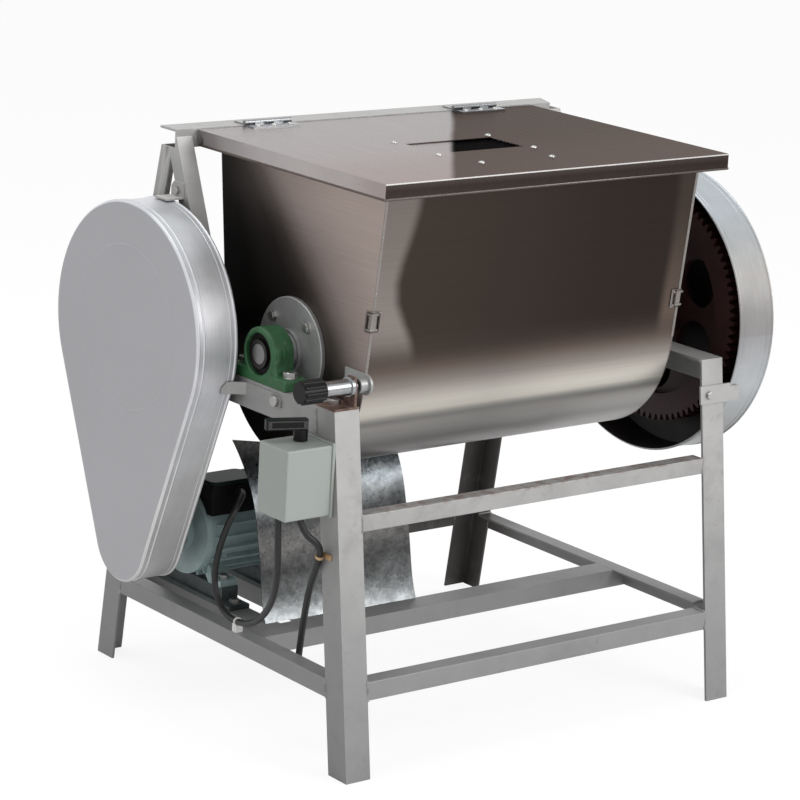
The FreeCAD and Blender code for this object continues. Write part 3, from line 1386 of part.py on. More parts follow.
os.makedirs("parts", exist_ok=True)
save_stand()
save_bearings()
save_trough()
save_lock()
save_lid()
save_drive()
save_motor()
save_switch()
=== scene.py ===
"""Dresses the tilting dough mixer: its sheet, castings, fasteners, leads, stage and camera."""

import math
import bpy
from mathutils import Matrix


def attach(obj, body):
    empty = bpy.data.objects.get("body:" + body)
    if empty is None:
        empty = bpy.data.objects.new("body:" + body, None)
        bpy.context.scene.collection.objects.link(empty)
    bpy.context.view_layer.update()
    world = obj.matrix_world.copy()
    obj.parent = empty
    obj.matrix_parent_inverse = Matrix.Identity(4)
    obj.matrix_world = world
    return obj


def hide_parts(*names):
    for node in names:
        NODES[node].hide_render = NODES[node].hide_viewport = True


bl_info = {
    "name": "Tilting Dough Mixer",
    "version": (1, 0, 0),
    "blender": (4, 5, 0),
    "location": "View3D > Sidebar > Mixer",
    "description": "Builds the visible pieces and finishes of a tilting dough mixer",
    "category": "Object",
}

import bmesh
import bpy
from mathutils import Matrix, Vector

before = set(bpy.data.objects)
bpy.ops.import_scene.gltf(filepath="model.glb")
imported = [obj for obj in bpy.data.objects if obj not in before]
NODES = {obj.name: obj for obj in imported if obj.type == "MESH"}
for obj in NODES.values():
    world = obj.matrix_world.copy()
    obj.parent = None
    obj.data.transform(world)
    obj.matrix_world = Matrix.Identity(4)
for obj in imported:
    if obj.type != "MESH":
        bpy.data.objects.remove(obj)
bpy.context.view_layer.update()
MM = 0.001

# Places that the construction fixes, in millimetres
SHAFT_Y, SHAFT_Z, COUNTER_Y = -86.0, 662.9, 169.0
MOTOR_Y, MOTOR_Z, MOTOR_HIGH = 166.0, 287.0, 90.0
TUB_LEFT, TUB_RIGHT, TUB_R, TUB_FLARE = -355.5, 325.5, 199.0, 0.11
RAIL_TOP, LOW_TOP, MID_TOP = 615.3, 163.4, 440.7
HALF_WIDTH, ANGLE_LEG, SPLAY = 430.0, 50.0, 0.1325
FRONT_FOOT, BACK_FOOT = -389.0, 375.0
PILLOW_X, PILLOW_BOLT = 406.0, 63.5
LID_TOP, LID_LIP = 996.4, 28.0
LID_LEFT, LID_RIGHT, LID_FRONT, LID_REAR = -387.7, 357.7, -357.5, 173.0
LID_SCREWS = ((66, -56), (66, -181), (38, -262), (-139, -54), (-139, -177), (-115, -262))
HINGE_STARTS, HINGE_WIDE, SCREW_SHARES = (-290.0, 172.0), 100.0, (0.16, 0.5, 0.84)
BELT_RIM, BELT_FACE, GEAR_RIM, GEAR_FACE = -445.0, -527.0, 445.0, 528.0
BELT_GUARD, BELT_GUARD_R, GEAR_GUARD, GEAR_GUARD_R = (168.0, 662.0), 219.0, (-71.0, 653.0), 261.0
GUARD_TIP_R = 76.0
MOTOR_LEAD = [
    (-505, -268, 446), (-504, -271, 385), (-489, -252, 318), (-463, -198, 252),
    (-434, -105, 190), (-408, 5, 172), (-401, 54, 206), (-402, 48, 268),
    (-390, 34, 330), (-360, 45, 362), (-340, 60, 373), (-340, 80, 373),
]
SUPPLY_LEAD = [
    (-480.5, -290, 446), (-476, -298, 416), (-445, -311, 391), (-436.5, -290, 352),
    (-424, -254, 300), (-405, -218, 236), (-391, -192, 180), (-387, -182, 138),
]

# The thickness of both leads, in metres, and the seed of the weld's ripples
LEAD_THICKNESS = 0.0115
WELD_SEED = 3


# Sizes and colours that a user would change
def length(name, description, default):
    return bpy.props.FloatProperty(name=name, description=description, default=default,
                                   min=0.0, max=0.1, subtype="DISTANCE", unit="LENGTH")


def colour(name, description, default):
    return bpy.props.FloatVectorProperty(name=name, description=description, default=default,
                                         size=3, min=0.0, max=1.0, subtype="COLOR")


class MixerSizes(bpy.types.PropertyGroup):
    """Small sizes of the visible finish."""
    iron_edge: length("Iron edge", "Radius of the rolled edges of the angle iron", 0.0014)
    sheet_edge: length("Sheet edge", "Radius of the folded edges of the sheet", 0.0006)
    casting_edge: length("Casting edge", "Radius of the edges of cast pieces", 0.0018)
    plastic_edge: length("Plastic edge", "Radius of the edges of moulded pieces", 0.0012)
    weld_width: length("Weld width", "Width of the weld beads on the stand", 0.0065)
    weld_pitch: length("Weld pitch", "Distance from one ripple of a weld to the next", 0.0021)
    hem_height: length("Hem height", "Height of the hem along the foot of the lid's lip", 0.0045)
    seam_width: length("Seam width", "Width of the lap along the trough's front corners", 0.0048)


class MixerColours(bpy.types.PropertyGroup):
    """Main colours of the visible finish."""
    frame_grey: colour("Frame grey", "Silver paint of the stand", (0.40, 0.395, 0.39))
    guard_grey: colour("Guard grey", "Silver paint on the flat of the belt guard", (0.385, 0.385, 0.405))
    # The two steel tones are painted reflections on the trough wall: a pale screen and a dark room.
    steel_pale_reflection: colour("Steel, light", "Brushed stainless sheet where it is light", (0.36, 0.315, 0.285))
    steel_dark_reflection: colour("Steel, dark", "Brushed stainless sheet where it is dark", (0.050, 0.0375, 0.031))
    bearing_green: colour("Bearing green", "Paint of the pillow blocks", (0.021, 0.078, 0.031))
    motor_teal: colour("Motor teal", "Paint of the motor", (0.290, 0.380, 0.380))
    box_grey: colour("Box grey", "Green grey of the switch box", (0.325, 0.352, 0.330))
    gear_red: colour("Gear red", "Primer on the gear pair", (0.026, 0.0050, 0.0055))


def sizes():
    return bpy.context.scene.mixer_sizes


def colours():
    return bpy.context.scene.mixer_colours


# Painted reflections and shade down the trough's round belly, as colours from its foot up
BELLY_REFLECTIONS = [
    (0.0, (0.26, 0.245, 0.24)), (0.07, (0.36, 0.34, 0.335)), (0.15, (0.29, 0.275, 0.27)),
    (0.25, (0.40, 0.39, 0.375)), (0.36, (0.47, 0.45, 0.43)), (0.43, (0.38, 0.375, 0.365)),
    (0.52, (0.74, 0.71, 0.64)), (0.64, (0.62, 0.585, 0.53)), (0.82, (0.27, 0.24, 0.22)),
    (0.94, (0.13, 0.10, 0.085)), (1.0, (0.066, 0.051, 0.044)),
]

# The finishes, by their keys
FINISHES = {}


# Wiring of materials and other node trees
def node_in(tree, kind, inputs, **settings):
    """Adds a node, makes its settings and joins or fills its inputs, by name or place."""
    node = tree.nodes.new(kind)
    for name, setting in settings.items():
        setattr(node, name, setting)
    for place, value in inputs.items():
        socket = node.inputs[place]
        if isinstance(value, bpy.types.NodeSocket):
            tree.links.new(value, socket)
        elif socket.type == "RGBA":
            socket.default_value = (*tuple(value)[:3], 1.0)
        else:
            socket.default_value = value
    return node


class Value:
    """A number or a tone inside a material, for use in plain sums."""

    def __init__(self, tree, socket):
        self.tree = tree
        self.socket = socket

    def __add__(self, other):
        return self.tree.maths("ADD", self, other)

    def __sub__(self, other):
        return self.tree.maths("SUBTRACT", self, other)

    def __mul__(self, other):
        return self.tree.maths("MULTIPLY", self, other)

    def between(self, low, high):
        """0 at low and 1 at high, with a soft passage."""
        return self.tree.add("MapRange", 0, {0: self, 1: low, 2: high}, interpolation_type="SMOOTHSTEP")

    def ramp(self, *stops):
        node = self.tree.wiring.nodes.new("ShaderNodeValToRGB")
        band = node.color_ramp
        while len(band.elements) < len(stops):
            band.elements.new(0.5)
        for element, (place, tone) in zip(band.elements, stops):
            element.position = place
            element.color = (*tone, 1.0) if hasattr(tone, "__len__") else (tone, tone, tone, 1.0)
        self.tree.wiring.links.new(self.socket, node.inputs["Fac"])
        return Value(self.tree, node.outputs["Color"])


class Tree:
    """Short calls to wire one material on Object coordinates."""

    def __init__(self, name, metal, rough):
        self.material = bpy.data.materials.new(name)
        self.material.use_nodes = True
        self.wiring = self.material.node_tree
        self.shader = self.wiring.nodes["Principled BSDF"]
        self.shader.inputs["Metallic"].default_value = metal
        self.shader.inputs["Roughness"].default_value = rough
        self.where = self.add("TexCoord", "Object", {})

    def add(self, kind, output, inputs, **settings):
        ready = {place: value.socket if isinstance(value, Value) else value
                 for place, value in inputs.items()}
        return Value(self, node_in(self.wiring, "ShaderNode" + kind, ready, **settings).outputs[output])

    def feed(self, name, value):
        """Joins a value to one of the shader's sockets."""
        self.wiring.links.new(value.socket, self.shader.inputs[name])

    def stretched(self, scale):
        return self.add("Mapping", "Vector", {"Vector": self.where, "Scale": scale})

    def noise(self, scale, detail=3.0, rough=0.5, where=None, warp=0.0):
        return self.add("TexNoise", "Fac", {"Vector": where or self.where, "Scale": scale, "Detail": detail,
                                            "Roughness": rough, "Distortion": warp})

    def maths(self, kind, first, second=0.0):
        return self.add("Math", 0, {0: first, 1: second}, operation=kind)

    def blend(self, factor, first, second, mode="MIX"):
        return self.add("Mix", 2, {0: factor, 6: first, 7: second}, data_type="RGBA", blend_type=mode)

    def tinted(self, base, *layers):
        for layer in layers:
            base = self.blend(1.0, base, layer, "MULTIPLY")
        return base

    def split(self, value):
        node = node_in(self.wiring, "ShaderNodeSeparateXYZ", {0: value.socket})
        return [Value(self, output) for output in node.outputs]

    def axes(self):
        return self.split(self.where)

    def facing(self):
        """The surface's own direction in the part's frame, as three numbers."""
        normal = self.add("NewGeometry", "Normal", {})
        return self.split(self.add("VectorTransform", 0, {0: normal}, vector_type="NORMAL",
                                   convert_from="WORLD", convert_to="OBJECT"))

    def bump(self, height, depth, strength):
        inputs = {"Height": height, "Distance": depth, "Strength": strength}
        self.feed("Normal", self.add("Bump", "Normal", inputs))

    def colour(self, value):
        self.feed("Base Color", value)

    def rough(self, value, low, high):
        inputs = {"Value": value, "To Min": low, "To Max": high}
        self.feed("Roughness", self.add("MapRange", "Result", inputs))

    def keep(self, key):
        """Makes the material ready under its key."""
        FINISHES[key] = self.material


def shade(tone, factor):
    return tuple(channel * factor for channel in tuple(tone)[:3])


def brushed(tree, scale, depth):
    """Fine lines of a brushed sheet; scale says along which axis they run."""
    lines = tree.noise(1.0, 4.0, 0.62, tree.stretched(scale))
    tree.bump(lines, depth, 0.6)
    return lines


def inside_of(tree, painted_reflection, lines):
    """Plain steel on the faces that look at the mixing shaft, so that the painted reflections stay on the
    outside.
    """
    x, y, z = tree.axes()
    face_x, face_y, face_z = tree.facing()
    outer = (y - SHAFT_Y * MM) * face_y + (z - SHAFT_Z * MM) * face_z + x * face_x
    plain_tone = lines.ramp((0.3, (0.285, 0.268, 0.255)), (0.7, (0.335, 0.315, 0.30)))
    return tree.blend(outer.between(-0.02, -0.06), painted_reflection, plain_tone)


def front_wall_steel():
    """Painted reflections on the wall: a pale screen at the left behind a bowed border, and a dark room
    beside it.
    """
    light, dark = colours().steel_pale_reflection, colours().steel_dark_reflection
    tree = Tree("stainless_wall", 1.0, 0.3)
    lines = brushed(tree, (5, 5, 420), 0.00003)
    x, _, z = tree.axes()
    # Painted reflections: a pale strip at the left behind its bowed border, a dark middle, a right strip that
    # lightens low down, and the belly's bands below. The streaks are the real brushing.
    sway = (tree.noise(5.0, 1.0, 0.5, tree.stretched((0.4, 0.4, 1))) - 0.5) * 0.03
    up = z.between(0.66, 0.97)
    bow = up.ramp((0.0, 0.66), (0.18, 0.48), (0.34, 0.37), (0.50, 0.335), (0.68, 0.37), (1.0, 0.48))
    left = (x - (bow * 0.16 + (sway - 0.366))).between(-0.012, 0.014)
    right = (x + sway * 0.8).between(0.276, 0.300)
    pale = tree.blend(up, shade(light, 0.72), shade(light, 0.46))
    dusk = tree.blend(x.between(-0.30, 0.25), shade(dark, 0.94), shade(dark, 0.56))
    rim = tree.blend(z.between(0.66, 0.92), shade(dark, 2.5), shade(dark, 1.05))
    wall = tree.blend(left, pale, tree.blend(right, dusk, rim))
    side = x.between(-0.36, 0.33).ramp((0.0, 0.94), (0.38, 0.85), (0.70, 0.98), (1.0, 1.0))
    belly = tree.tinted(z.between(0.465, 0.70).ramp(*BELLY_REFLECTIONS), side)
    high = z.between(0.640, 0.720) * (z + x * 0.07).between(0.625, 0.730)
    streak = lines.ramp((0.3, 0.94), (0.7, 1.04))
    tree.colour(inside_of(tree, tree.tinted(tree.blend(high, belly, wall), streak), lines))
    tree.rough(lines, 0.27, 0.36)
    tree.keep("wall")


def end_plate_steel():
    """Painted reflection: the end plates get lighter towards their upper front corner."""
    tree = Tree("stainless_ends", 0.9, 0.34)
    lines = brushed(tree, (5, 5, 420), 0.00003)
    _, y, z = tree.axes()
    # Painted reflection levels in a warm tone, darkest low down at the back.
    reach = (z - 0.70) * 0.9 - y + (tree.noise(3.0, 2.0) - 0.5) * 0.08
    levels = ((0.0, 0.010), (0.30, 0.055), (0.44, 0.115), (0.55, 0.23),
              (0.66, 0.31), (0.85, 0.37), (1.0, 0.43))
    warm = (1.0, 0.82, 0.745)
    painted_reflection = reach.between(-0.05, 0.47).ramp(*[(place, shade(warm, level)) for place, level in levels])
    streak = lines.ramp((0.3, 0.92), (0.7, 1.05))
    tree.colour(inside_of(tree, tree.tinted(painted_reflection, streak), lines))
    tree.rough(lines, 0.32, 0.42)
    tree.keep("ends")


def lid_steel(key, dusk, shine):
    """Sheet with painted reflections: a pale screen on its left part and a dark one on its right part."""
    tree = Tree("stainless_" + key, 1.0, 0.3)
    lines = brushed(tree, (420, 6, 6), 0.00002)
    x, y, z = tree.axes()
    face_x, face_y, face_z = tree.facing()
    deep = y.between(-0.36, 0.17)
    # Border of the painted reflections between the pale left part and the dark right part. The shine tint
    # follows it.
    right = (x - y * 0.7955 + tree.noise(6.0, 1.5) * 0.012).between(0.028, 0.046)
    tree.feed("Specular Tint", tree.blend(right, (0.56, 0.54, 0.54), shine))
    pale = deep.ramp((0.0, (0.56, 0.48, 0.46)), (0.45, (0.61, 0.58, 0.575)), (1.0, (0.64, 0.62, 0.62)))
    dark = deep.ramp((0.0, shade(dusk, 1.45)), (0.5, shade(dusk, 0.95)), (1.0, shade(dusk, 0.75)))
    # Painted reflections: dark tones on the front of the lip and pale ones on the left side of the lip.
    lip = z.between(0.968, 0.9955).ramp((0.0, (0.058, 0.044, 0.039)), (0.6, (0.050, 0.038, 0.034)),
                                        (1.0, (0.080, 0.064, 0.058)))
    flank_reflection = deep.ramp((0.0, (0.48, 0.41, 0.40)), (0.10, (0.58, 0.53, 0.52)), (0.7, (0.58, 0.54, 0.54)),
                      (1.0, (0.40, 0.37, 0.37)))
    painted_reflection = tree.blend(face_y.between(-0.45, -0.85), tree.blend(right, pale, dark), lip)
    painted_reflection = tree.blend(face_x.between(-0.45, -0.85), painted_reflection, flank_reflection)
    # Painted highlight along the rounded front edge of the lid's top.
    fold = z.between(0.9938, 0.9946) * face_y.between(-0.15, -0.35) * y.between(-0.345, -0.352)
    painted_reflection = tree.blend(fold, painted_reflection, (0.88, 0.85, 0.84))
    painted_reflection = tree.blend(face_z.between(-0.3, -0.7), painted_reflection, (0.31, 0.292, 0.28))
    tree.colour(tree.tinted(painted_reflection, lines.ramp((0.3, 0.95), (0.7, 1.04))))
    tree.rough(lines, 0.22, 0.32)
    tree.keep(key)


def plain_steel(key, tone, low, high, scale=(300, 24, 24), metal=1.0):
    tree = Tree("steel_" + key, metal, low)
    lines = brushed(tree, scale, 0.00003)
    cloud = tree.noise(18.0, 3.0, 0.6)
    base = tree.blend(cloud, shade(tone, 0.82), shade(tone, 1.15))
    tree.colour(tree.tinted(base, lines.ramp((0.3, 0.88), (0.7, 1.08))))
    tree.rough(cloud, low, high)
    tree.keep(key)


def frame_paint():
    """Silver paint, greyer low down, with painted shade on its left faces and at the back right, painted
    light on the lid posts, and smudges, grime and rust on one edge.
    """
    tone = colours().frame_grey
    tree = Tree("frame_silver_paint", 0.35, 0.45)
    strokes = tree.noise(1.0, 4.0, 0.6, tree.stretched((22, 22, 22)))
    grain = tree.noise(260.0, 2.0, 0.6)
    grime = tree.noise(7.0, 5.0, 0.7, warp=0.6)
    smudge = tree.noise(34.0, 4.0, 0.75, warp=0.4)
    x, y, z = tree.axes()
    face_x = tree.facing()[0]
    below = z.between(0.66, 0.60)
    base = tree.blend(strokes, shade(tone, 0.82), shade(tone, 1.12))
    # Painted shade on the left faces below the top rails.
    base = tree.blend(face_x.between(-0.3, -0.9) * below, base, shade(tone, 0.70))
    # Painted light on the other faces of the lid posts, and painted shade on their left faces.
    bright = tree.blend(face_x.between(-0.2, -0.8), shade(tone, 1.75), shade(tone, 0.80))
    base = tree.blend(z.between(0.62, 0.66) * z.between(0.97, 0.93) * 0.7, base, bright)
    base = tree.blend(z.between(0.50, 0.10) * 0.62, base, (0.194, 0.196, 0.20))
    # Painted shade low down at the back right.
    back = y.between(0.16, 0.30) * x.between(-0.1, 0.2) * below
    base = tree.blend(back * 0.9, base, (0.050, 0.043, 0.040))
    base = tree.blend(smudge.ramp((0.60, 0.0), (0.72, 1.0)) * 0.30, base, (0.16, 0.115, 0.10))
    edge = z.between(0.4365, 0.4405) * z.between(0.4440, 0.4420) * smudge.ramp((0.46, 0.0), (0.60, 0.75))
    edge = edge * tree.maths("ABSOLUTE", x).between(0.3795, 0.3785)
    base = tree.blend(edge, base, (0.21, 0.135, 0.115))
    tree.colour(tree.blend(grime.ramp((0.50, 0.0), (0.78, 0.6)), base, shade(tone, 0.50)))
    tree.rough(strokes, 0.36, 0.56)
    tree.bump(grain + strokes * 2.0, 0.0003, 0.5)
    tree.keep("frame")


def weld_metal():
    tone = colours().frame_grey
    tree = Tree("weld_bead", 0.45, 0.4)
    cloud = tree.noise(60.0, 3.0, 0.6)
    tree.colour(cloud.ramp((0.3, shade(tone, 0.50)), (0.7, shade(tone, 1.05))))
    tree.rough(cloud, 0.30, 0.50)
    tree.keep("weld")


def guard_paint():
    tone = colours().guard_grey
    tree = Tree("guard_silver_paint", 0.25, 0.48)
    cloud = tree.noise(3.5)
    speck = tree.noise(420.0, 2.0, 0.6)
    base = tree.blend(cloud, shade(tone, 0.94), shade(tone, 1.05))
    tree.colour(tree.tinted(base, speck.ramp((0.3, 0.96), (0.7, 1.04))))
    tree.rough(speck, 0.42, 0.54)
    tree.bump(speck, 0.00008, 0.4)
    tree.keep("guard_flat")


def guard_band_sheet(key, centre_y, centre_z, reflection_tones):
    """Bright sheet of a guard's band, whose tone changes round the guard as painted reflections and
    highlights.
    """
    tree = Tree("guard_" + key, 0.55, 0.36)
    lines = brushed(tree, (900, 12, 12), 0.00005)
    _, y, z = tree.axes()
    turn = tree.maths("ARCTAN2", z - centre_z, y - centre_y)
    share = turn * (0.5 / math.pi) + 0.5
    cloud = tree.noise(14.0, 3.0, 0.6)
    tree.colour(tree.tinted(share.ramp(*reflection_tones), cloud.ramp((0.3, 0.92), (0.7, 1.07)),
                            lines.ramp((0.3, 0.92), (0.7, 1.06))))
    tree.rough(cloud, 0.28, 0.42)
    tree.keep(key)


def guard_inside():
    # Painted shade: the guards' insides lie in shade, so they are made near black, mottled a little.
    tree = Tree("guard_inside_painted_shade", 0.2, 0.6)
    inside_mottle = tree.noise(12.0, 4.0, 0.65, warp=0.8)
    tree.colour(inside_mottle.ramp((0.3, (0.006, 0.005, 0.005)), (0.8, (0.022, 0.014, 0.013))))
    tree.rough(inside_mottle, 0.45, 0.7)
    tree.bump(inside_mottle, 0.0006, 0.5)
    tree.keep("guard_inside")


def zinc_sheet():
    """Spangled zinc with painted reflections of light and dark bands, one above the other."""
    tree = Tree("spangled_zinc", 1.0, 0.3)
    facets = tree.add("TexVoronoi", "Color", {"Vector": tree.stretched((1, 1, 1.2)), "Scale": 210.0})
    facet = facets.ramp((0.15, 0.84), (0.85, 1.13))
    high = tree.axes()[2] + (tree.noise(7.0, 4.0, 0.62, warp=0.9) - 0.5) * 0.05
    # Painted reflections: light and dark bands by height. The spangle, mottle and blotches are the zinc's
    # own.
    band = high.between(0.16, 0.50).ramp(
        (0.0, (0.195, 0.205, 0.210)), (0.06, (0.130, 0.136, 0.137)), (0.18, (0.070, 0.070, 0.071)),
        (0.34, (0.13, 0.127, 0.124)), (0.50, (0.066, 0.069, 0.070)), (0.64, (0.14, 0.148, 0.152)),
        (0.76, (0.28, 0.31, 0.33)), (0.88, (0.17, 0.18, 0.187)), (1.0, (0.24, 0.235, 0.23)))
    mottle = tree.noise(75.0, 5.0, 0.72, warp=0.3).ramp((0.35, 0.72), (0.66, 1.22))
    blotch = tree.noise(24.0, 3.0, 0.6).ramp((0.35, 0.80), (0.66, 1.15))
    tree.colour(tree.tinted(band, mottle, blotch, facet))
    tree.rough(facets, 0.24, 0.42)
    tree.bump(facet, 0.00006, 0.3)
    tree.keep("zinc")


def green_casting():
    tone = colours().bearing_green
    tree = Tree("green_casting", 0.0, 0.42)
    sand = tree.noise(420.0, 3.0, 0.6)
    wave = tree.noise(55.0, 4.0, 0.6)
    base = tree.blend(wave, shade(tone, 0.65), shade(tone, 1.7))
    worn = tree.noise(38.0, 4.0, 0.75, warp=0.5).ramp((0.60, 0.0), (0.72, 0.75))
    tree.colour(tree.blend(worn, base, (0.16, 0.18, 0.165)))
    tree.rough(sand, 0.34, 0.58)
    tree.shader.inputs["Specular IOR Level"].default_value = 0.4
    tree.bump(sand + wave * 3.0, 0.0006, 0.6)
    tree.keep("green")


def motor_casting():
    tone = colours().motor_teal
    tree = Tree("teal_casting", 0.0, 0.36)
    sand = tree.noise(300.0, 3.0, 0.6)
    tree.colour(tree.blend(tree.noise(20.0, 4.0, 0.6), shade(tone, 0.6), shade(tone, 1.5)))
    tree.rough(sand, 0.26, 0.48)
    tree.bump(sand, 0.0004, 0.5)
    tree.keep("motor")


def iron(key, tone, low, high):
    tree = Tree("iron_" + key, 0.1, low)
    wave = tree.noise(40.0, 5.0, 0.7, warp=0.5)
    tree.colour(wave.ramp((0.30, shade(tone, 0.45)), (0.55, shade(tone, 1.0)), (0.80, shade(tone, 1.7))))
    tree.rough(wave, low, high)
    tree.bump(tree.noise(320.0, 2.0), 0.0004, 0.5)
    tree.keep(key)


def moulding(key, tone, low, high, metal=0.0, grain=600.0, shine=0.34):
    tree = Tree("moulded_" + key, metal, low)
    tree.shader.inputs["Specular IOR Level"].default_value = shine
    fine = tree.noise(grain, 2.0)
    tree.colour(tree.blend(tree.noise(16.0), shade(tone, 0.88), shade(tone, 1.12)))
    tree.rough(fine, low, high)
    tree.bump(fine, 0.00010, 0.5)
    tree.keep(key)


def switch_moulding():
    """The switch box, with painted shade on its left side, and darker on its top."""
    tone = colours().box_grey
    tree = Tree("moulded_box", 0.0, 0.4)
    tree.shader.inputs["Specular IOR Level"].default_value = 0.34
    fine = tree.noise(600.0, 2.0)
    face_x, _, face_z = tree.facing()
    # Painted shade on the left side. The top is made darker too.
    base = tree.blend(face_x.between(-0.3, -0.9), tone, shade(tone, 0.84))
    tree.colour(tree.blend(face_z.between(0.5, 0.9), base, shade(tone, 0.74)))
    tree.rough(fine, 0.34, 0.46)
    tree.bump(fine, 0.00010, 0.5)
    tree.keep("box")


def rusty_iron():
    tree = Tree("rusty_plate", 0.1, 0.6)
    wave = tree.noise(70.0, 5.0, 0.75, warp=0.8)
    tree.colour(wave.ramp((0.30, (0.035, 0.020, 0.016)), (0.50, (0.115, 0.062, 0.045)),
                          (0.68, (0.20, 0.145, 0.12)), (0.85, (0.33, 0.31, 0.30))))
    tree.rough(wave, 0.45, 0.75)
    tree.bump(wave, 0.0005, 0.6)
    tree.keep("rust")


def make_finishes():
    tone = colours()
    front_wall_steel()
    end_plate_steel()
    # The dark tones given to the lid and the port slide are their painted dark reflections.
    lid_steel("lid", (0.105, 0.086, 0.080), (0.42, 0.38, 0.36))
    lid_steel("port", (0.016, 0.012, 0.011), (0.05, 0.045, 0.045))
    plain_steel("plate", (0.34, 0.345, 0.34), 0.34, 0.48, (60, 300, 60), metal=0.55)
    plain_steel("bright", (0.33, 0.34, 0.35), 0.18, 0.30)
    plain_steel("bolt", (0.46, 0.455, 0.44), 0.24, 0.42)
    plain_steel("shaft", (0.20, 0.19, 0.185), 0.30, 0.46)
    plain_steel("race", (0.075, 0.070, 0.066), 0.30, 0.48)
    plain_steel("mixing", (0.42, 0.41, 0.40), 0.24, 0.40)
    plain_steel("seam", (0.26, 0.24, 0.225), 0.26, 0.40, (8, 8, 300))
    plain_steel("hem", (0.13, 0.108, 0.10), 0.28, 0.40)
    plain_steel("wire", (0.10, 0.085, 0.075), 0.26, 0.40)
    frame_paint()
    weld_metal()
    guard_paint()
    # The bands' colour stops are painted reflections and highlights round each guard.
    guard_band_sheet("belt_band", 0.168, 0.600, [
        (0.0, (0.65, 0.66, 0.69)), (0.20, (0.60, 0.60, 0.60)), (0.30, (0.57, 0.57, 0.57)),
        (0.36, (0.78, 0.78, 0.78)), (0.42, (0.60, 0.60, 0.59)), (0.47, (0.73, 0.73, 0.73)),
        (0.51, (0.60, 0.57, 0.55)), (0.56, (0.78, 0.74, 0.70)), (0.62, (0.55, 0.55, 0.56)),
        (0.70, (0.68, 0.69, 0.73)), (0.80, (0.57, 0.59, 0.61)), (1.0, (0.65, 0.65, 0.68))])
    guard_band_sheet("gear_band", -0.071, 0.653, [
        (0.0, (0.32, 0.32, 0.33)), (0.06, (0.45, 0.47, 0.49)), (0.13, (0.31, 0.32, 0.32)),
        (0.24, (0.38, 0.40, 0.41)), (0.40, (0.32, 0.33, 0.35)), (0.60, (0.36, 0.38, 0.41)),
        (0.75, (0.38, 0.41, 0.43)), (0.84, (0.43, 0.47, 0.50)), (0.93, (0.33, 0.32, 0.31)),
        (1.0, (0.30, 0.29, 0.29))])
    guard_inside()
    zinc_sheet()
    green_casting()
    motor_casting()
    iron("gear", tone.gear_red, 0.40, 0.65)
    iron("pulley", (0.10, 0.102, 0.105), 0.40, 0.65)
    iron("slide", (0.060, 0.075, 0.075), 0.38, 0.6)
    rusty_iron()
    switch_moulding()
    moulding("black", (0.006, 0.006, 0.006), 0.26, 0.40, shine=0.20)
    # The rims' lighter black partly stands in for the highlights on the grip's ridges, a painted highlight.
    # Their higher shine is real.
    moulding("black_rim", (0.030, 0.030, 0.031), 0.22, 0.34, shine=0.50)
    moulding("dark_teal", (0.010, 0.016, 0.017), 0.30, 0.45, shine=0.06)
    moulding("seal", (0.008, 0.007, 0.007), 0.40, 0.60, shine=0.15)
    moulding("cable", (0.014, 0.014, 0.014), 0.30, 0.50, grain=900.0)
    moulding("belt", (0.016, 0.015, 0.014), 0.55, 0.75, grain=500.0)
    moulding("brass", (0.50, 0.34, 0.19), 0.30, 0.46, metal=0.6)
    moulding("white", (0.62, 0.62, 0.60), 0.40, 0.55)


# Mesh work
def made(name, data):
    piece = bpy.data.objects.new(name, data)
    bpy.context.scene.collection.objects.link(piece)
    return piece


def finished(piece, *keys):
    piece.data.materials.clear()
    for key in keys:
        piece.data.materials.append(FINISHES[key])
    return piece


def softened(piece, angle=32.0):
    piece.data.shade_smooth()
    piece.data.set_sharp_from_angle(angle=math.radians(angle))
    return piece


def plain(piece):
    """The piece with its modifiers made part of its own mesh."""
    graph = bpy.context.evaluated_depsgraph_get()
    mesh = bpy.data.meshes.new_from_object(piece.evaluated_get(graph), depsgraph=graph)
    piece.modifiers.clear()
    piece.data = mesh
    return piece


def stands_for(piece, body, slot, *nodes):
    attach(piece, body)
    if nodes:
        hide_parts(*nodes)
    return piece


def copy_of(node, name):
    """A merged copy of one node of the construction, its flat faces made whole."""
    mesh = NODES[node].data.copy()
    work = bmesh.new()
    work.from_mesh(mesh)
    bmesh.ops.remove_doubles(work, verts=work.verts, dist=0.000004)
    bmesh.ops.dissolve_limit(work, angle_limit=math.radians(0.3), use_dissolve_boundaries=False,
                             verts=work.verts, edges=work.edges)
    work.to_mesh(mesh)
    work.free()
    return made(name, mesh)


def eased(piece, width):
    """Rounds the piece's sharp edges."""
    edge = piece.modifiers.new("eased", "BEVEL")
    edge.width = width
    edge.segments = 3
    edge.limit_method = "ANGLE"
    edge.angle_limit = math.radians(35.0)
    edge.use_clamp_overlap = True
    return plain(piece)


def evened(piece, angle):
    """Smooth shading that leaves the flat faces flat."""
    softened(piece, angle)
    even = piece.modifiers.new("even", "WEIGHTED_NORMAL")
    even.keep_sharp = True
    even.weight = 80
    return plain(piece)


def dressed(node, name, body, slot, key, width=0.0):
    """A piece in one node's own shape, with eased edges and a finish."""
    piece = copy_of(node, name)
    if width > 0:
        eased(piece, width)
    evened(piece, 48.0 if width > 0 else 30.0)
    finished(piece, key)
    return stands_for(piece, body, slot, node)


def cast(node, name, body, slot, key, grain, passes):
    """A piece in one node's shape, with the fillets of a sand casting."""
    piece = copy_of(node, name)
    grid = piece.modifiers.new("grid", "REMESH")
    grid.mode = "VOXEL"
    grid.voxel_size = grain
    grid.adaptivity = 0.0
    soft = piece.modifiers.new("soft", "SMOOTH")
    soft.factor = 0.5
    soft.iterations = passes
    thin = piece.modifiers.new("thin", "DECIMATE")
    thin.ratio = 0.45
    plain(piece)
    piece.data.shade_smooth()
    finished(piece, key)
    return stands_for(piece, body, slot, node)


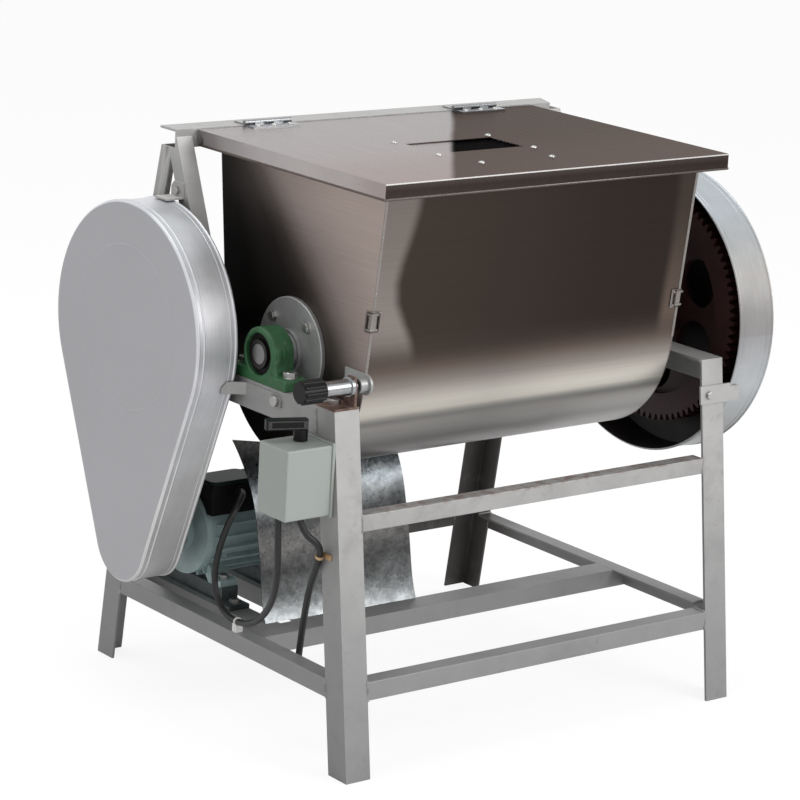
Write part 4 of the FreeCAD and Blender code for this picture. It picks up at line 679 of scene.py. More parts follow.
def mesh_of(name, points, faces):
    mesh = bpy.data.meshes.new(name)
    mesh.from_pydata([tuple(c * MM for c in point) for point in points], [], faces)
    mesh.validate()
    return mesh


def outward(mesh):
    work = bmesh.new()
    work.from_mesh(mesh)
    bmesh.ops.remove_doubles(work, verts=work.verts, dist=0.000002)
    bmesh.ops.recalc_face_normals(work, faces=work.faces)
    work.to_mesh(mesh)
    work.free()
    return mesh


def ring_faces(rows, count, first=0, closed=False):
    """Faces from each ring of points to the next, with end caps unless the last ring meets the first."""
    faces = []
    for row in range(rows if closed else rows - 1):
        a, b = first + row * count, first + (row + 1) % rows * count
        for k in range(count):
            n = (k + 1) % count
            faces.append((a + k, a + n, b + n, b + k))
    if not closed:
        faces += [tuple(range(at, at + count)) for at in (first, first + (rows - 1) * count)]
    return faces


def lathe(name, profile, y, z, steps):
    """A closed section, as pairs of x and radius, turned about a line along X."""
    points = []
    for step in range(steps):
        turn = 2 * math.pi * step / steps
        points += [(x, y + radius * math.cos(turn), z + radius * math.sin(turn)) for x, radius in profile]
    return outward(mesh_of(name, points, ring_faces(steps, len(profile), closed=True)))


# Repeated pieces, made by trees of Geometry Nodes
def tree_with(name, inputs):
    tree = bpy.data.node_groups.new(name, "GeometryNodeTree")
    tree.interface.new_socket(name="Geometry", in_out="INPUT", socket_type="NodeSocketGeometry")
    tree.interface.new_socket(name="Geometry", in_out="OUTPUT", socket_type="NodeSocketGeometry")
    for label, kind in inputs:
        tree.interface.new_socket(name=label, in_out="INPUT", socket_type=kind)
    return tree, tree.nodes.new("NodeGroupInput"), tree.nodes.new("NodeGroupOutput")


def grown(piece, tree, values):
    """Runs the tree on the piece with its named inputs and keeps the plain mesh."""
    modifier = piece.modifiers.new("grown", "NODES")
    modifier.node_group = tree
    for item in tree.interface.items_tree:
        if item.item_type == "SOCKET" and item.in_out == "INPUT" and item.name in values:
            modifier[item.identifier] = values[item.name]
    plain(piece)
    bpy.data.node_groups.remove(tree)
    return piece


def head_mesh(name, across, high, washer=0.0, domed=False, steps=36):
    """A chamfered hexagon head, or a domed one, that stands on its seat along Z."""
    flat = across / 2
    crown = flat * 0.93
    base = 1.6 if washer > 0 else 0.0
    rings = [(washer, 0.0), (washer, 1.3), (washer - 0.4, base)] if washer > 0 else []
    if domed:
        lifts = [math.pi / 2 * k / 6 for k in range(7)]
        rings += [(max(flat * math.cos(lift), 0.3), base + high * math.sin(lift)) for lift in lifts]
    else:
        rings += [(None, base), (None, None), (crown, base + high)]
    points = []
    for radius, z in rings:
        for step in range(steps):
            a = 2 * math.pi * step / steps
            part = (a + math.pi / 6) % (math.pi / 3) - math.pi / 6
            r = flat / math.cos(part) if radius is None else radius
            level = base + high - max(0.0, r - crown) * 0.55 if z is None else z
            points.append((r * math.cos(a), r * math.sin(a), level))
    return outward(mesh_of(name, points, ring_faces(len(rings), steps)))


def coat_and_leave(tree, enter, leave, put):
    """Ends a tree: the instances made real, with their finish set."""
    real = node_in(tree, "GeometryNodeRealizeInstances", {"Geometry": put.outputs["Instances"]})
    coat = node_in(tree, "GeometryNodeSetMaterial", {"Geometry": real.outputs["Geometry"],
                                                     "Material": enter.outputs["Finish"]})
    tree.links.new(coat.outputs["Geometry"], leave.inputs["Geometry"])


def set_out(name, seats, pattern, body, slot, key, *nodes):
    """Copies of one pattern on every seat: a place, a direction and a size, in millimetres."""
    mesh = bpy.data.meshes.new(name)
    mesh.from_pydata([tuple(c * MM for c in place) for place, aim, grow in seats], [], [])
    mesh.attributes.new("aim", "FLOAT_VECTOR", "POINT")
    mesh.attributes.new("grow", "FLOAT", "POINT")
    mesh.attributes["aim"].data.foreach_set("vector", [c for place, aim, grow in seats for c in aim])
    mesh.attributes["grow"].data.foreach_set("value", [grow for place, aim, grow in seats])
    piece = made(name, mesh)
    model = made(name + "_pattern", pattern)
    tree, enter, leave = tree_with(name, [("Pattern", "NodeSocketObject"), ("Finish", "NodeSocketMaterial")])
    named = "GeometryNodeInputNamedAttribute"
    info = node_in(tree, "GeometryNodeObjectInfo", {"Object": enter.outputs["Pattern"]})
    aim = node_in(tree, named, {"Name": "aim"}, data_type="FLOAT_VECTOR")
    grow = node_in(tree, named, {"Name": "grow"}, data_type="FLOAT")
    turn = node_in(tree, "FunctionNodeAlignRotationToVector", {"Vector": aim.outputs["Attribute"]},
                   axis="Z")
    put = node_in(tree, "GeometryNodeInstanceOnPoints", {
        "Points": enter.outputs["Geometry"], "Instance": info.outputs["Geometry"],
        "Rotation": turn.outputs["Rotation"], "Scale": grow.outputs["Attribute"]})
    coat_and_leave(tree, enter, leave, put)
    grown(piece, tree, {"Pattern": model, "Finish": FINISHES[key]})
    bpy.data.objects.remove(model)
    finished(piece, key)
    softened(piece, 28.0)
    return stands_for(piece, body, slot, *nodes)


def beads(name, runs, width, pitch, body, slot, key):
    """Overlapping ripples of weld along straight or bent runs."""
    points, edges = [], []
    for run in runs:
        first = len(points)
        points += [tuple(c * MM for c in point) for point in run]
        edges += [(first + k, first + k + 1) for k in range(len(run) - 1)]
    mesh = bpy.data.meshes.new(name)
    mesh.from_pydata(points, edges, [])
    piece = made(name, mesh)
    tree, enter, leave = tree_with(name, [("Width", "NodeSocketFloat"), ("Pitch", "NodeSocketFloat"),
                                          ("Seed", "NodeSocketInt"), ("Finish", "NodeSocketMaterial")])
    line = node_in(tree, "GeometryNodeMeshToCurve", {"Mesh": enter.outputs["Geometry"]})
    step = node_in(tree, "GeometryNodeResampleCurve", {
        "Curve": line.outputs["Curve"], "Length": enter.outputs["Pitch"]}, mode="LENGTH")
    half = node_in(tree, "ShaderNodeMath", {0: enter.outputs["Width"], 1: 0.5}, operation="MULTIPLY")
    ball = node_in(tree, "GeometryNodeMeshIcoSphere", {"Subdivisions": 2, "Radius": half.outputs[0]})
    vary = node_in(tree, "FunctionNodeRandomValue", {2: 0.78, 3: 1.12, "Seed": enter.outputs["Seed"]},
                   data_type="FLOAT")
    tangent = node_in(tree, "GeometryNodeInputTangent", {})
    turn = node_in(tree, "FunctionNodeAlignRotationToVector", {"Vector": tangent.outputs["Tangent"]},
                   axis="Z")
    flat = node_in(tree, "ShaderNodeCombineXYZ", {"X": vary.outputs[1], "Y": vary.outputs[1], "Z": 0.45})
    put = node_in(tree, "GeometryNodeInstanceOnPoints", {
        "Points": step.outputs["Curve"], "Instance": ball.outputs["Mesh"],
        "Rotation": turn.outputs["Rotation"], "Scale": flat.outputs["Vector"]})
    coat_and_leave(tree, enter, leave, put)
    grown(piece, tree, {"Width": width, "Pitch": pitch, "Seed": WELD_SEED, "Finish": FINISHES[key]})
    finished(piece, key)
    piece.data.shade_smooth()
    return stands_for(piece, body, slot)


# Stand
def front_of_leg(z):
    return FRONT_FOOT + SPLAY * z


def back_of_leg(z):
    return BACK_FOOT - SPLAY * z


def weld_runs():
    """The lines of the welds at the lower rails, the top rails, the lid posts and the middle rail."""
    runs = []
    low, top = LOW_TOP - 32.7, RAIL_TOP - 3.0
    for side in (-1, 1):
        outer = side * HALF_WIDTH
        inner = outer - side * ANGLE_LEG
        edge = outer - side * 1.5
        for plane, deep in ((front_of_leg, 1), (back_of_leg, -1)):
            face = plane(LOW_TOP)
            far, foot = face + deep * ANGLE_LEG, plane(low) + deep * ANGLE_LEG
            runs.append([(inner, face + deep * 1.5, LOW_TOP), (inner, plane(low) + deep * 1.5, low)])
            runs.append([(inner, face + deep * 3, LOW_TOP), (inner, face + deep * 28, LOW_TOP)])
            runs.append([(edge, far, LOW_TOP), (edge, foot, low)])
            runs.append([(outer - side * 3, far, LOW_TOP), (outer - side * 28, far, LOW_TOP)])
        front = front_of_leg(RAIL_TOP)
        edge = outer - side
        runs.append([(outer - side * 6, front + 4, top), (inner, front + 4, top)])
        runs.append([(edge, front_of_leg(566) + ANGLE_LEG, 566), (edge, front + ANGLE_LEG, 612)])
        runs += [[(edge, start, RAIL_TOP), (edge, start + 32, RAIL_TOP)] for start in (22, 268)]
    for side in (-1, 1):
        inner = side * (HALF_WIDTH - ANGLE_LEG)
        runs.append([(inner, front_of_leg(z) + 1.5, z) for z in (MID_TOP, 412)])
    return runs


class MIXER_OT_stand(bpy.types.Operator):
    """Dress the angle iron stand and lay its welds"""
    bl_idname = "mixer.stand"
    bl_label = "Stand"

    def execute(self, context):
        edge = sizes().iron_edge
        for node in ("front_legs", "rear_legs", "top_rails", "lower_side_rails", "lower_end_rails",
                     "cross_rails", "front_middle_rail", "lid_posts", "hinge_crossbar"):
            dressed(node, "painted_" + node, "stand", "frame_paint", "frame", edge)
        beads("frame_welds", weld_runs(), sizes().weld_width, sizes().weld_pitch,
              "stand", "frame_paint", "weld")
        return {"FINISHED"}


# Bearings
def pillow_places():
    return [(side * PILLOW_X, y) for side in (-1, 1) for y in (SHAFT_Y, COUNTER_Y)]


def shoulder_ribs():
    """Three low ribs cast on each shoulder of each block, as one mesh."""
    shoulder = 46.0
    turns = [math.radians(-22.0 + 4.0 * k) for k in range(14)]
    points, faces = [], []
    for x, y in pillow_places():
        for way in (-1, 1):
            for shift in (-12.0, -3.0, 6.0):
                faces += ring_faces(len(turns), 4, first=len(points))
                for turn in turns:
                    lift = 0.2 if turn in (turns[0], turns[-1]) else 3.0
                    for across, out in ((-2.8, -1.5), (-1.5, lift), (1.5, lift), (2.8, -1.5)):
                        radius = shoulder + out
                        points.append((x + shift + across, y + way * radius * math.cos(turn),
                                       SHAFT_Z - radius * math.sin(turn)))
    return outward(mesh_of("shoulder_ribs", points, faces))


class MIXER_OT_bearings(bpy.types.Operator):
    """Dress the four pillow blocks with their inserts, seals and bolts"""
    bl_idname = "mixer.bearings"
    bl_label = "Bearings"

    def execute(self, context):
        cast("pillow_blocks", "green_pillow_blocks", "stand", "green_cast", "green", 0.0019, 4)
        ribs = made("shoulder_ribs", shoulder_ribs())
        stands_for(finished(softened(ribs, 50.0), "green"), "stand", "green_cast")
        dressed("bearing_inserts", "insert_rings", "stand", "bearing_steel", "race", 0.0008)
        dressed("agitator_races", "mixing_shaft_races", "agitator", "bearing_steel", "race", 0.0006)
        dressed("countershaft_races", "cross_shaft_races", "countershaft", "bearing_steel", "race", 0.0006)
        feet = [(x, y + reach) for x, y in pillow_places() for reach in (-PILLOW_BOLT, PILLOW_BOLT)]
        seats = [((x, y, RAIL_TOP + rise), (0, 0, way), 1.0)
                 for x, y in feet for rise, way in ((19.0, 1), (-5.0, -1))]
        set_out("pillow_bolt_heads", seats, head_mesh("bearing_head", 21.5, 9.0, 13.2), "stand",
                "bolt_steel", "bolt", "bearing_bolts")
        half_section = [(13.0, 35.3), (15.6, 34.6), (16.0, 25.6)]
        profile = [(-a, r) for a, r in reversed(half_section)] + half_section
        for index, (x, y) in enumerate(pillow_places()):
            mesh = lathe("seal", [(x + a, r) for a, r in profile], y, SHAFT_Z, 48)
            piece = made("bearing_seals_%d" % index, mesh)
            finished(softened(piece, 50.0), "seal")
            stands_for(piece, "stand", "bearing_steel")
        return {"FINISHED"}


# Trough
def wall_front(z):
    return SHAFT_Y - TUB_R / math.cos(math.atan(TUB_FLARE)) - TUB_FLARE * (z - SHAFT_Z)


def corner_laps(width):
    """The end plates' folded laps on the front wall, one thin strip at each corner."""
    levels = [660.0 + 25.5 * k for k in range(13)]
    section = ((0.3, 0.2), (0.3, -1.2), (0.6 - width, -1.3), (-width, -0.2))
    points, faces = [], []
    for side, edge in ((-1, TUB_LEFT), (1, TUB_RIGHT)):
        faces += ring_faces(len(levels), len(section), first=len(points))
        for z in levels:
            points += [(edge + side * along, wall_front(z) + out, z) for along, out in section]
    return outward(mesh_of("corner_laps", points, faces))


def bail_path(side, edge, low, high):
    """The closed line of a catch's wire, bent round the trough's corner."""
    points = []
    for z, order in ((high, 1), (low, -1)):
        front = wall_front(z)
        arch = [(edge + side * 3.6, front + 9.0, z), (edge + side * 3.8, front + 2.0, z),
                (edge + side * 2.6, front - 2.4, z), (edge - side * 3.0, front - 4.0, z),
                (edge - side * 12.5, front - 4.0, z)]
        points += arch[::order]
    return points


def wire_mesh(path, radius):
    """A closed wire of round section along a path."""
    knots = []
    for k, place in enumerate(path):
        a, b, c = Vector(path[k - 1]), Vector(place), Vector(path[(k + 1) % len(path)])
        trim = min(3.0, (a - b).length * 0.4, (c - b).length * 0.4)
        first, last = b + (a - b).normalized() * trim, b + (c - b).normalized() * trim
        for t in (0, 1 / 3, 2 / 3, 1):
            knots.append((1 - t) ** 2 * first + 2 * t * (1 - t) * b + t * t * last)
    points = []
    total, around = len(knots), 10
    up = Vector((0.3, 0.5, 0.81)).normalized()
    for k, knot in enumerate(knots):
        ahead = (knots[(k + 1) % total] - knots[k - 1]).normalized()
        across = (up - ahead * up.dot(ahead)).normalized()
        other = ahead.cross(across)
        for step in range(around):
            turn = 2 * math.pi * step / around
            points.append(tuple(knot + radius * (math.cos(turn) * across + math.sin(turn) * other)))
    mesh = outward(mesh_of("wire", points, ring_faces(total, around, closed=True)))
    mesh.shade_smooth()
    return mesh


class MIXER_OT_trough(bpy.types.Operator):
    """Dress the trough, its end discs and its corner catches"""
    bl_idname = "mixer.trough"
    bl_label = "Trough"

    def execute(self, context):
        dressed("tub_shell", "trough_wall", "tub", "stainless", "wall", sizes().sheet_edge)
        dressed("tub_ends", "trough_end_plates", "tub", "stainless", "ends")
        dressed("end_discs", "hub_discs", "tub", "stainless", "plate", 0.0012)
        dressed("corner_catches", "catch_plates", "tub", "stainless", "seam", 0.0007)
        dressed("lock_keeper", "keeper_lug", "tub", "stainless", "plate", 0.0012)
        laps = made("corner_laps", corner_laps(sizes().seam_width / MM))
        stands_for(finished(softened(laps), "seam"), "tub", "stainless")
        spots, seats = [], []
        reach = 70.0 * math.sqrt(0.5)
        for name, side, wall, low, high in (("catch_bail_left", -1, TUB_LEFT, 739.0, 771.0),
                                            ("catch_bail_right", 1, TUB_RIGHT, 717.0, 746.0)):
            bail = made(name, wire_mesh(bail_path(side, wall, low, high), 1.4))
            stands_for(finished(bail, "wire"), "tub", "stainless")
            for z in (948.0, 900.0, 852.0, 804.0, 700.0):
                spots.append(((wall - side * 2.6, wall_front(z) - 1.2, z), (0, -1, -TUB_FLARE), 1.0))
            for a, b in ((-1, -1), (-1, 1), (1, -1), (1, 1)):
                y, z = SHAFT_Y + a * reach, SHAFT_Z + b * reach
                seats.append(((wall + side * 8.0, y, z), (side, 0, 0), 1.0))
                seats.append(((wall - side * 2.0, y, z), (-side, 0, 0), 1.0))
        set_out("lap_spot_welds", spots, head_mesh("spot", 2.6, 0.5, domed=True, steps=16), "tub",
                "stainless", "weld")
        set_out("disc_bolt_heads", seats, head_mesh("disc_head", 15.5, 6.2, 9.6), "tub",
                "bolt_steel", "bolt", "disc_bolts")
        return {"FINISHED"}


class MIXER_OT_mixing_bars(bpy.types.Operator):
    """Dress the mixing shaft, its arms and its two skewed bars"""
    bl_idname = "mixer.mixing_bars"
    bl_label = "Mixing bars"

    def execute(self, context):
        for part in ("shaft", "arms", "bars"):
            dressed("agitator_" + part, "mixing_" + part, "agitator", "stainless", "mixing", 0.0008)
        return {"FINISHED"}


# Tilt lock
class MIXER_OT_lock(bpy.types.Operator):
    """Dress the spring lock that holds the trough upright"""
    bl_idname = "mixer.lock"
    bl_label = "Tilt lock"

    def execute(self, context):
        edge = sizes().plastic_edge
        dressed("lock_plate", "rusty_lock_plate", "stand", "rusty_plate", "rust", 0.0006)
        dressed("lock_housing", "chromed_lock_tube", "stand", "plated", "bright", 0.0008)
        dressed("lock_plunger", "lock_pin", "lock_pin", "bolt_steel", "bright", 0.0006)
        dressed("lock_knob", "star_knob", "lock_pin", "black_plastic", "black", edge)
        return {"FINISHED"}


# Lid
def lip_hem(high):
    """The hem that stands a little proud along the foot of the lid's lip, as one bent strip."""
    low, rear = LID_TOP - LID_LIP, LID_REAR - 6
    section = [(-0.2, low + high), (0.9, low + high - 0.5), (1.15, low + high * 0.5),
               (0.9, low + 0.5), (-0.2, low)]
    corners = [(LID_LEFT, rear, -1, 0), (LID_LEFT, LID_FRONT, -1, -1),
               (LID_RIGHT, LID_FRONT, 1, -1), (LID_RIGHT, rear, 1, 0)]
    points = [(x + out * way_x, y + out * way_y, z) for x, y, way_x, way_y in corners for out, z in section]
    return outward(mesh_of("lip_hem", points, ring_faces(len(corners), len(section))))


class MIXER_OT_lid(bpy.types.Operator):
    """Dress the lid, its port, its screws and its hinges"""
    bl_idname = "mixer.lid"
    bl_label = "Lid"

    def execute(self, context):
        dressed("lid", "lid_sheet", "lid", "stainless", "lid", 0.0014)
        dressed("port_guides", "port_runners", "lid", "stainless", "lid", 0.0004)
        dressed("port_plate", "port_slide", "port", "stainless", "port", 0.0003)
        dressed("hinge_lid_leaves", "lid_leaves", "lid", "plated", "bright", 0.0005)
        dressed("hinge_frame_leaves", "bar_leaves", "stand", "plated", "bright", 0.0005)
        hem = made("lip_hem", lip_hem(sizes().hem_height / MM))
        stands_for(finished(softened(hem, 60.0), "hem"), "lid", "stainless")
        up = (0, 0, 1)
        hinge_x = [start + share * HINGE_WIDE for start in HINGE_STARTS for share in SCREW_SHARES]
        front = [((x, y, LID_TOP), up, 1.0) for x, y in LID_SCREWS]
        front += [((x, 157.0, LID_TOP + 2.5), up, 0.82) for x in hinge_x]
        rear = [((x, 197.0, 1000.5), up, 0.82) for x in hinge_x]
        for name, seats, body, node in (("lid_screw_domes", front, "lid", "lid_fasteners"),
                                        ("bar_screw_domes", rear, "stand", "hinge_screws")):
            dome = head_mesh("dome", 11.4, 3.2, domed=True, steps=24)
            set_out(name, seats, dome, body, "bolt_steel", "bolt", node)
        return {"FINISHED"}


# Guards
def arc_stations(centre, radius, start, sweep, steps):
    """Points on an arc in the YZ plane, each with its outward way."""
    turns = [start + sweep * k / steps for k in range(steps + 1)]
    return [(centre[0] + radius * math.cos(a), centre[1] + radius * math.sin(a), math.cos(a), math.sin(a))
            for a in turns]


def line_stations(start, end):
    """Points on the straight run from one arc's end to the next arc's start."""
    runs = 18
    return [(start[0] + (end[0] - start[0]) * k / runs, start[1] + (end[1] - start[1]) * k / runs,
             start[2], start[3]) for k in range(1, runs)]


def drop_stations(top, top_r, tip, tip_r):
    """Base points and outward ways round two circles wrapped by tangents, in the YZ plane."""
    gap_y, gap_z = tip[0] - top[0], tip[1] - top[1]
    along = math.atan2(gap_z, gap_y)
    half = math.acos((top_r - tip_r) / math.hypot(gap_y, gap_z))
    wide = 2 * math.pi - 2 * half
    big = arc_stations(top, top_r, along + half, wide, int(wide / math.radians(3.0)))
    small = arc_stations(tip, tip_r, along - half, 2 * half, int(2 * half / math.radians(6.0)))
    return big + line_stations(big[-1], small[0]) + small + line_stations(small[-1], big[0])


def rolled(x, wide, high):
    """Section points of one rolled bead, from x on, as pairs of x and height."""
    return [(x + wide * k / 6, high * math.sin(math.pi * k / 6) ** 0.7 if 0 < k < 6 else 0.0)
            for k in range(7)]


def dent_at(place, dents):
    """How far the sheet is pushed in at a place."""
    sink = 0.0
    for *centre, size, deep in dents:
        far = math.dist(place, centre)
        if far < size:
            sink += deep * (0.5 + 0.5 * math.cos(math.pi * far / size))
    return sink


def guard_piece(name, stations, outer, inner, band, node, dents=()):
    """A closed sheet-metal guard: an outer and an inner section swept round its outline to its two flats."""
    count, flat = len(stations), len(outer) - 1
    rows = list(outer) + list(reversed(inner))
    points = []
    for index, (x, grow) in enumerate(rows):
        for y, z, way_y, way_z in stations:
            out = grow - dent_at((x, y, z), dents) if index <= flat else grow
            points.append((x, y + way_y * out, z + way_z * out))
    faces, kinds = [], []
    for row in range(len(rows)):
        if row == flat:
            continue
        a, b = row * count, (row + 1) % len(rows) * count
        kind = 0 if row < flat - 1 or row == len(rows) - 1 else 1 if row < flat else 2
        for k in range(count):
            n = (k + 1) % count
            faces.append((a + k, a + n, b + n, b + k))
            kinds.append(kind)
    for kind, row in ((1, flat), (2, flat + 1)):
        faces.append(tuple(range(row * count, (row + 1) * count)))
        kinds.append(kind)
    mesh = bpy.data.meshes.new(name)
    mesh.from_pydata([tuple(c * MM for c in point) for point in points], [], faces)
    # The inner faces take the guards' painted shade.
    for key in (band, "guard_flat", "guard_inside"):
        mesh.materials.append(FINISHES[key])
    mesh.polygons.foreach_set("material_index", kinds)
    work = bmesh.new()
    work.from_mesh(mesh)
    bmesh.ops.recalc_face_normals(work, faces=work.faces)
    work.to_mesh(mesh)
    work.free()
    return stands_for(softened(made(name, mesh), 38.0), "stand", "guard_sheet", node)


def belt_guard_sections():
    rim, face = BELT_RIM, BELT_FACE
    outer = [(rim, 0.0)] + rolled(rim - 0.6, -5.4, 1.9) + [(rim - 9.0, 0.0)] + rolled(rim - 12.0, -2.0, 0.5)
    outer += [(rim - deep, 0.0) for deep in (22.0, 34.0, 46.0, 58.0)]
    outer += rolled(rim - 64.5, -4.6, 1.8) + [(rim - 71.5, 0.0)] + rolled(rim - 75.0, -5.2, 1.9)
    outer += [(face + 0.9, -0.4), (face + 0.2, -1.3), (face, -2.4), (face, -8.0)]
    inner = [(rim, -1.5), (rim - 40.0, -1.5), (face + 2.6, -1.5), (face + 1.5, -3.0)]
    return outer, inner


def gear_guard_sections():
    rim, face = GEAR_RIM, GEAR_FACE
    outer = [(rim, 0.0)] + rolled(rim + 0.4, 5.0, 1.9) + [(rim + 8.0, 0.0)] + rolled(rim + 11.0, 2.2, 0.6)
    outer += [(rim + deep, 0.0) for deep in (22.0, 36.0, 50.0, 62.0)]
    outer += rolled(rim + 66.0, 2.2, 0.6) + [(rim + 74.0, 0.0)] + rolled(rim + 77.0, 4.8, 1.9)
    outer += [(face - 0.6, -0.4), (face - 0.15, -1.2), (face, -2.4), (face, -8.0)]
    inner = [(rim, -1.5), (rim + 40.0, -1.5), (face - 2.6, -1.5), (face - 1.5, -3.0)]
    return outer, inner


class MIXER_OT_guards(bpy.types.Operator):
    """Build the two rolled guards with their beads, straps and bolts"""
    bl_idname = "mixer.guards"
    bl_label = "Guards"

    def execute(self, context):
        belt = drop_stations(BELT_GUARD, BELT_GUARD_R, (MOTOR_Y, MOTOR_Z), GUARD_TIP_R)
        gear = drop_stations(GEAR_GUARD, GEAR_GUARD_R, (COUNTER_Y, SHAFT_Z), GUARD_TIP_R)
        dents = [(-480.0, -25.0, 560.0, 15.0, 1.3), (-470.0, -48.0, 700.0, 13.0, 0.8)]
        guard_piece("belt_guard_sheet", belt, *belt_guard_sections(), "belt_band", "belt_guard", dents)
        proud = BELT_FACE + 0.1
        section = [(proud - 0.05 - high, radius) for radius, high in rolled(141.2, 5.4, 0.85)]
        section = [(proud, 141.0)] + section + [(proud, 147.0)]
        pressing = made("face_pressing", lathe("face_pressing", section, BELT_GUARD[0], SHAFT_Z, 144))
        stands_for(finished(softened(pressing, 60.0), "guard_flat"), "stand", "guard_sheet")
        guard_piece("gear_guard_sheet", gear, *gear_guard_sections(), "gear_band", "gear_guard")
        dressed("guard_straps", "guard_strap_and_tabs", "stand", "guard_sheet", "frame", 0.0007)
        left, right, up = (-1, 0, 0), (1, 0, 0), (0, 0, 1)
        seats = [((-433.0, -149.0, 598.0), left, 1.45), ((-425.0, -149.0, 598.0), right, 1.0),
                 ((-433.0, 163.0, 896.0), left, 1.0), ((-427.0, 163.0, 896.0), right, 1.0),
                 ((392.0, front_of_leg(553) - 5.0, 553.0), (0, -1, 0), 1.0),
                 ((-402.0, -270.0, 619.3), up, 1.38)]
        slide_top, rail_top = MOTOR_Z - MOTOR_HIGH + 11.0, LOW_TOP + 10.0
        for x in (-352.0, -227.0):
            seats += [((x, y, z), up, 1.3) for y, z in ((96.0, slide_top), (236.0, slide_top),
                                                        (60.0, rail_top), (272.0, rail_top))]
        set_out("stand_bolt_heads", seats, head_mesh("small_head", 12.4, 5.2), "stand",
                "bolt_steel", "bolt", "stand_bolts")
        return {"FINISHED"}


# Drive
class MIXER_OT_drive(bpy.types.Operator):
    """Dress the gear pair, the pulleys and the belts"""
    bl_idname = "mixer.drive"
    bl_label = "Drive"

    def execute(self, context):
        dressed("ring_gear", "red_ring_gear", "agitator", "gear_iron", "gear", 0.0)
        dressed("pinion", "red_pinion", "countershaft", "gear_iron", "gear", 0.0)
        dressed("countershaft", "cross_shaft", "countershaft", "bolt_steel", "shaft", 0.0008)
        dressed("big_pulley", "spoked_pulley", "countershaft", "pulley_iron", "pulley", 0.0)
        dressed("motor_pulley", "small_pulley", "rotor", "pulley_iron", "pulley", 0.0)
        dressed("v_belts", "wedge_belts", "stand", "belt_rubber", "belt", 0.0)
        return {"FINISHED"}


# Motor
class MIXER_OT_motor(bpy.types.Operator):
    """Dress the motor, its terminal box, its slides and the bent shield before it"""
    bl_idname = "mixer.motor"
    bl_label = "Motor"

    def execute(self, context):
        edge = sizes().casting_edge
        dressed("motor_body", "finned_motor_body", "stand", "motor_paint", "motor", 0.0009)
        dressed("motor_fan_cover", "fan_cowl", "stand", "motor_paint", "motor", 0.0006)
        dressed("motor_rotor", "motor_shaft", "rotor", "bolt_steel", "shaft", 0.0008)
        dressed("motor_fan", "cooling_fan", "rotor", "black_plastic", "black", 0.0006)
        dressed("terminal_box", "terminal_housing", "stand", "black_plastic", "black", edge)
        dressed("terminal_cover", "terminal_lid", "stand", "black_plastic", "dark_teal", edge)
        dressed("motor_slides", "slide_rails", "stand", "motor_paint", "slide", 0.0008)
        dressed("motor_shield", "zinc_shield", "stand", "zinc_sheet", "zinc", 0.0)
        return {"FINISHED"}


# Switch
def grip_ridges():
    """The raised rims round the two long sides of the handle, as one mesh."""
    turn = math.radians(-21.0)
    foot, head = 584.6, 598.4
    points, faces = [], []
    for side in (-1, 1):
        for along, low, high, deep in (
                ((-57.0, 9.0), foot, foot + 2.4, 1.5), ((-57.0, 9.0), head - 2.4, head, 1.5),
                ((-57.0, -51.0), foot, head, 1.7), ((2.0, 9.0), foot, head, 1.7)):
            faces += ring_faces(2, 4, first=len(points))
            for x in along:
                for out, z in ((0.0, low), (0.0, high), (deep, high), (deep, low)):
                    y = side * (8.6 + out)
                    points.append((-466.0 + x * math.cos(turn) - y * math.sin(turn),
                                   -267.0 + x * math.sin(turn) + y * math.cos(turn), z))
    return outward(mesh_of("grip_ridges", points, faces))


class MIXER_OT_switch(bpy.types.Operator):
    """Dress the reversing switch box and its handle"""
    bl_idname = "mixer.switch"
    bl_label = "Switch box"

    def execute(self, context):
        edge = sizes().plastic_edge
        dressed("switch_base", "switch_back", "stand", "switch_plastic", "box", 0.0015)
        dressed("switch_cover", "switch_case", "stand", "switch_plastic", "box", 0.0006)
        dressed("switch_drum", "switch_stem", "switch_knob", "black_plastic", "black", 0.0008)
        dressed("switch_handle", "switch_grip", "switch_knob", "black_plastic", "black", edge)
        ridges = made("grip_ridges", grip_ridges())
        eased(ridges, 0.0005)
        stands_for(finished(evened(ridges, 48.0), "black_rim"), "switch_knob", "black_plastic")
        return {"FINISHED"}


# Leads
def lead_curve(name, points):
    """A lead whose line is a smooth spline with the route's points as its control points."""
    data = bpy.data.curves.new(name, "CURVE")
    data.dimensions = "3D"
    data.bevel_depth = LEAD_THICKNESS / 2
    data.bevel_resolution = 4
    data.resolution_u = 10
    data.use_fill_caps = True
    spline = data.splines.new("NURBS")
    spline.points.add(len(points) - 1)
    for point, place in zip(spline.points, points):
        point.co = (*[c * MM for c in place], 1.0)
    spline.order_u = 3
    spline.use_endpoint_u = True
    data.materials.append(FINISHES["cable"])
    return made(name, data)


class MIXER_OT_leads(bpy.types.Operator):
    """Lay the motor lead and the supply lead with their clip and tie"""
    bl_idname = "mixer.leads"
    bl_label = "Leads"

    def execute(self, context):
        motor = lead_curve("motor_cable", MOTOR_LEAD)
        stands_for(motor, "stand", "cable_rubber", "motor_lead")
        supply = lead_curve("supply_cable", SUPPLY_LEAD)
        stands_for(supply, "stand", "cable_rubber", "supply_lead")
        clip = dressed("cable_clip", "brass_clip", "stand", "clip_brass", "brass", 0.0005)
        tie = dressed("cable_tie", "white_tie", "stand", "tie_white", "white", 0.0004)
        return {"FINISHED"}


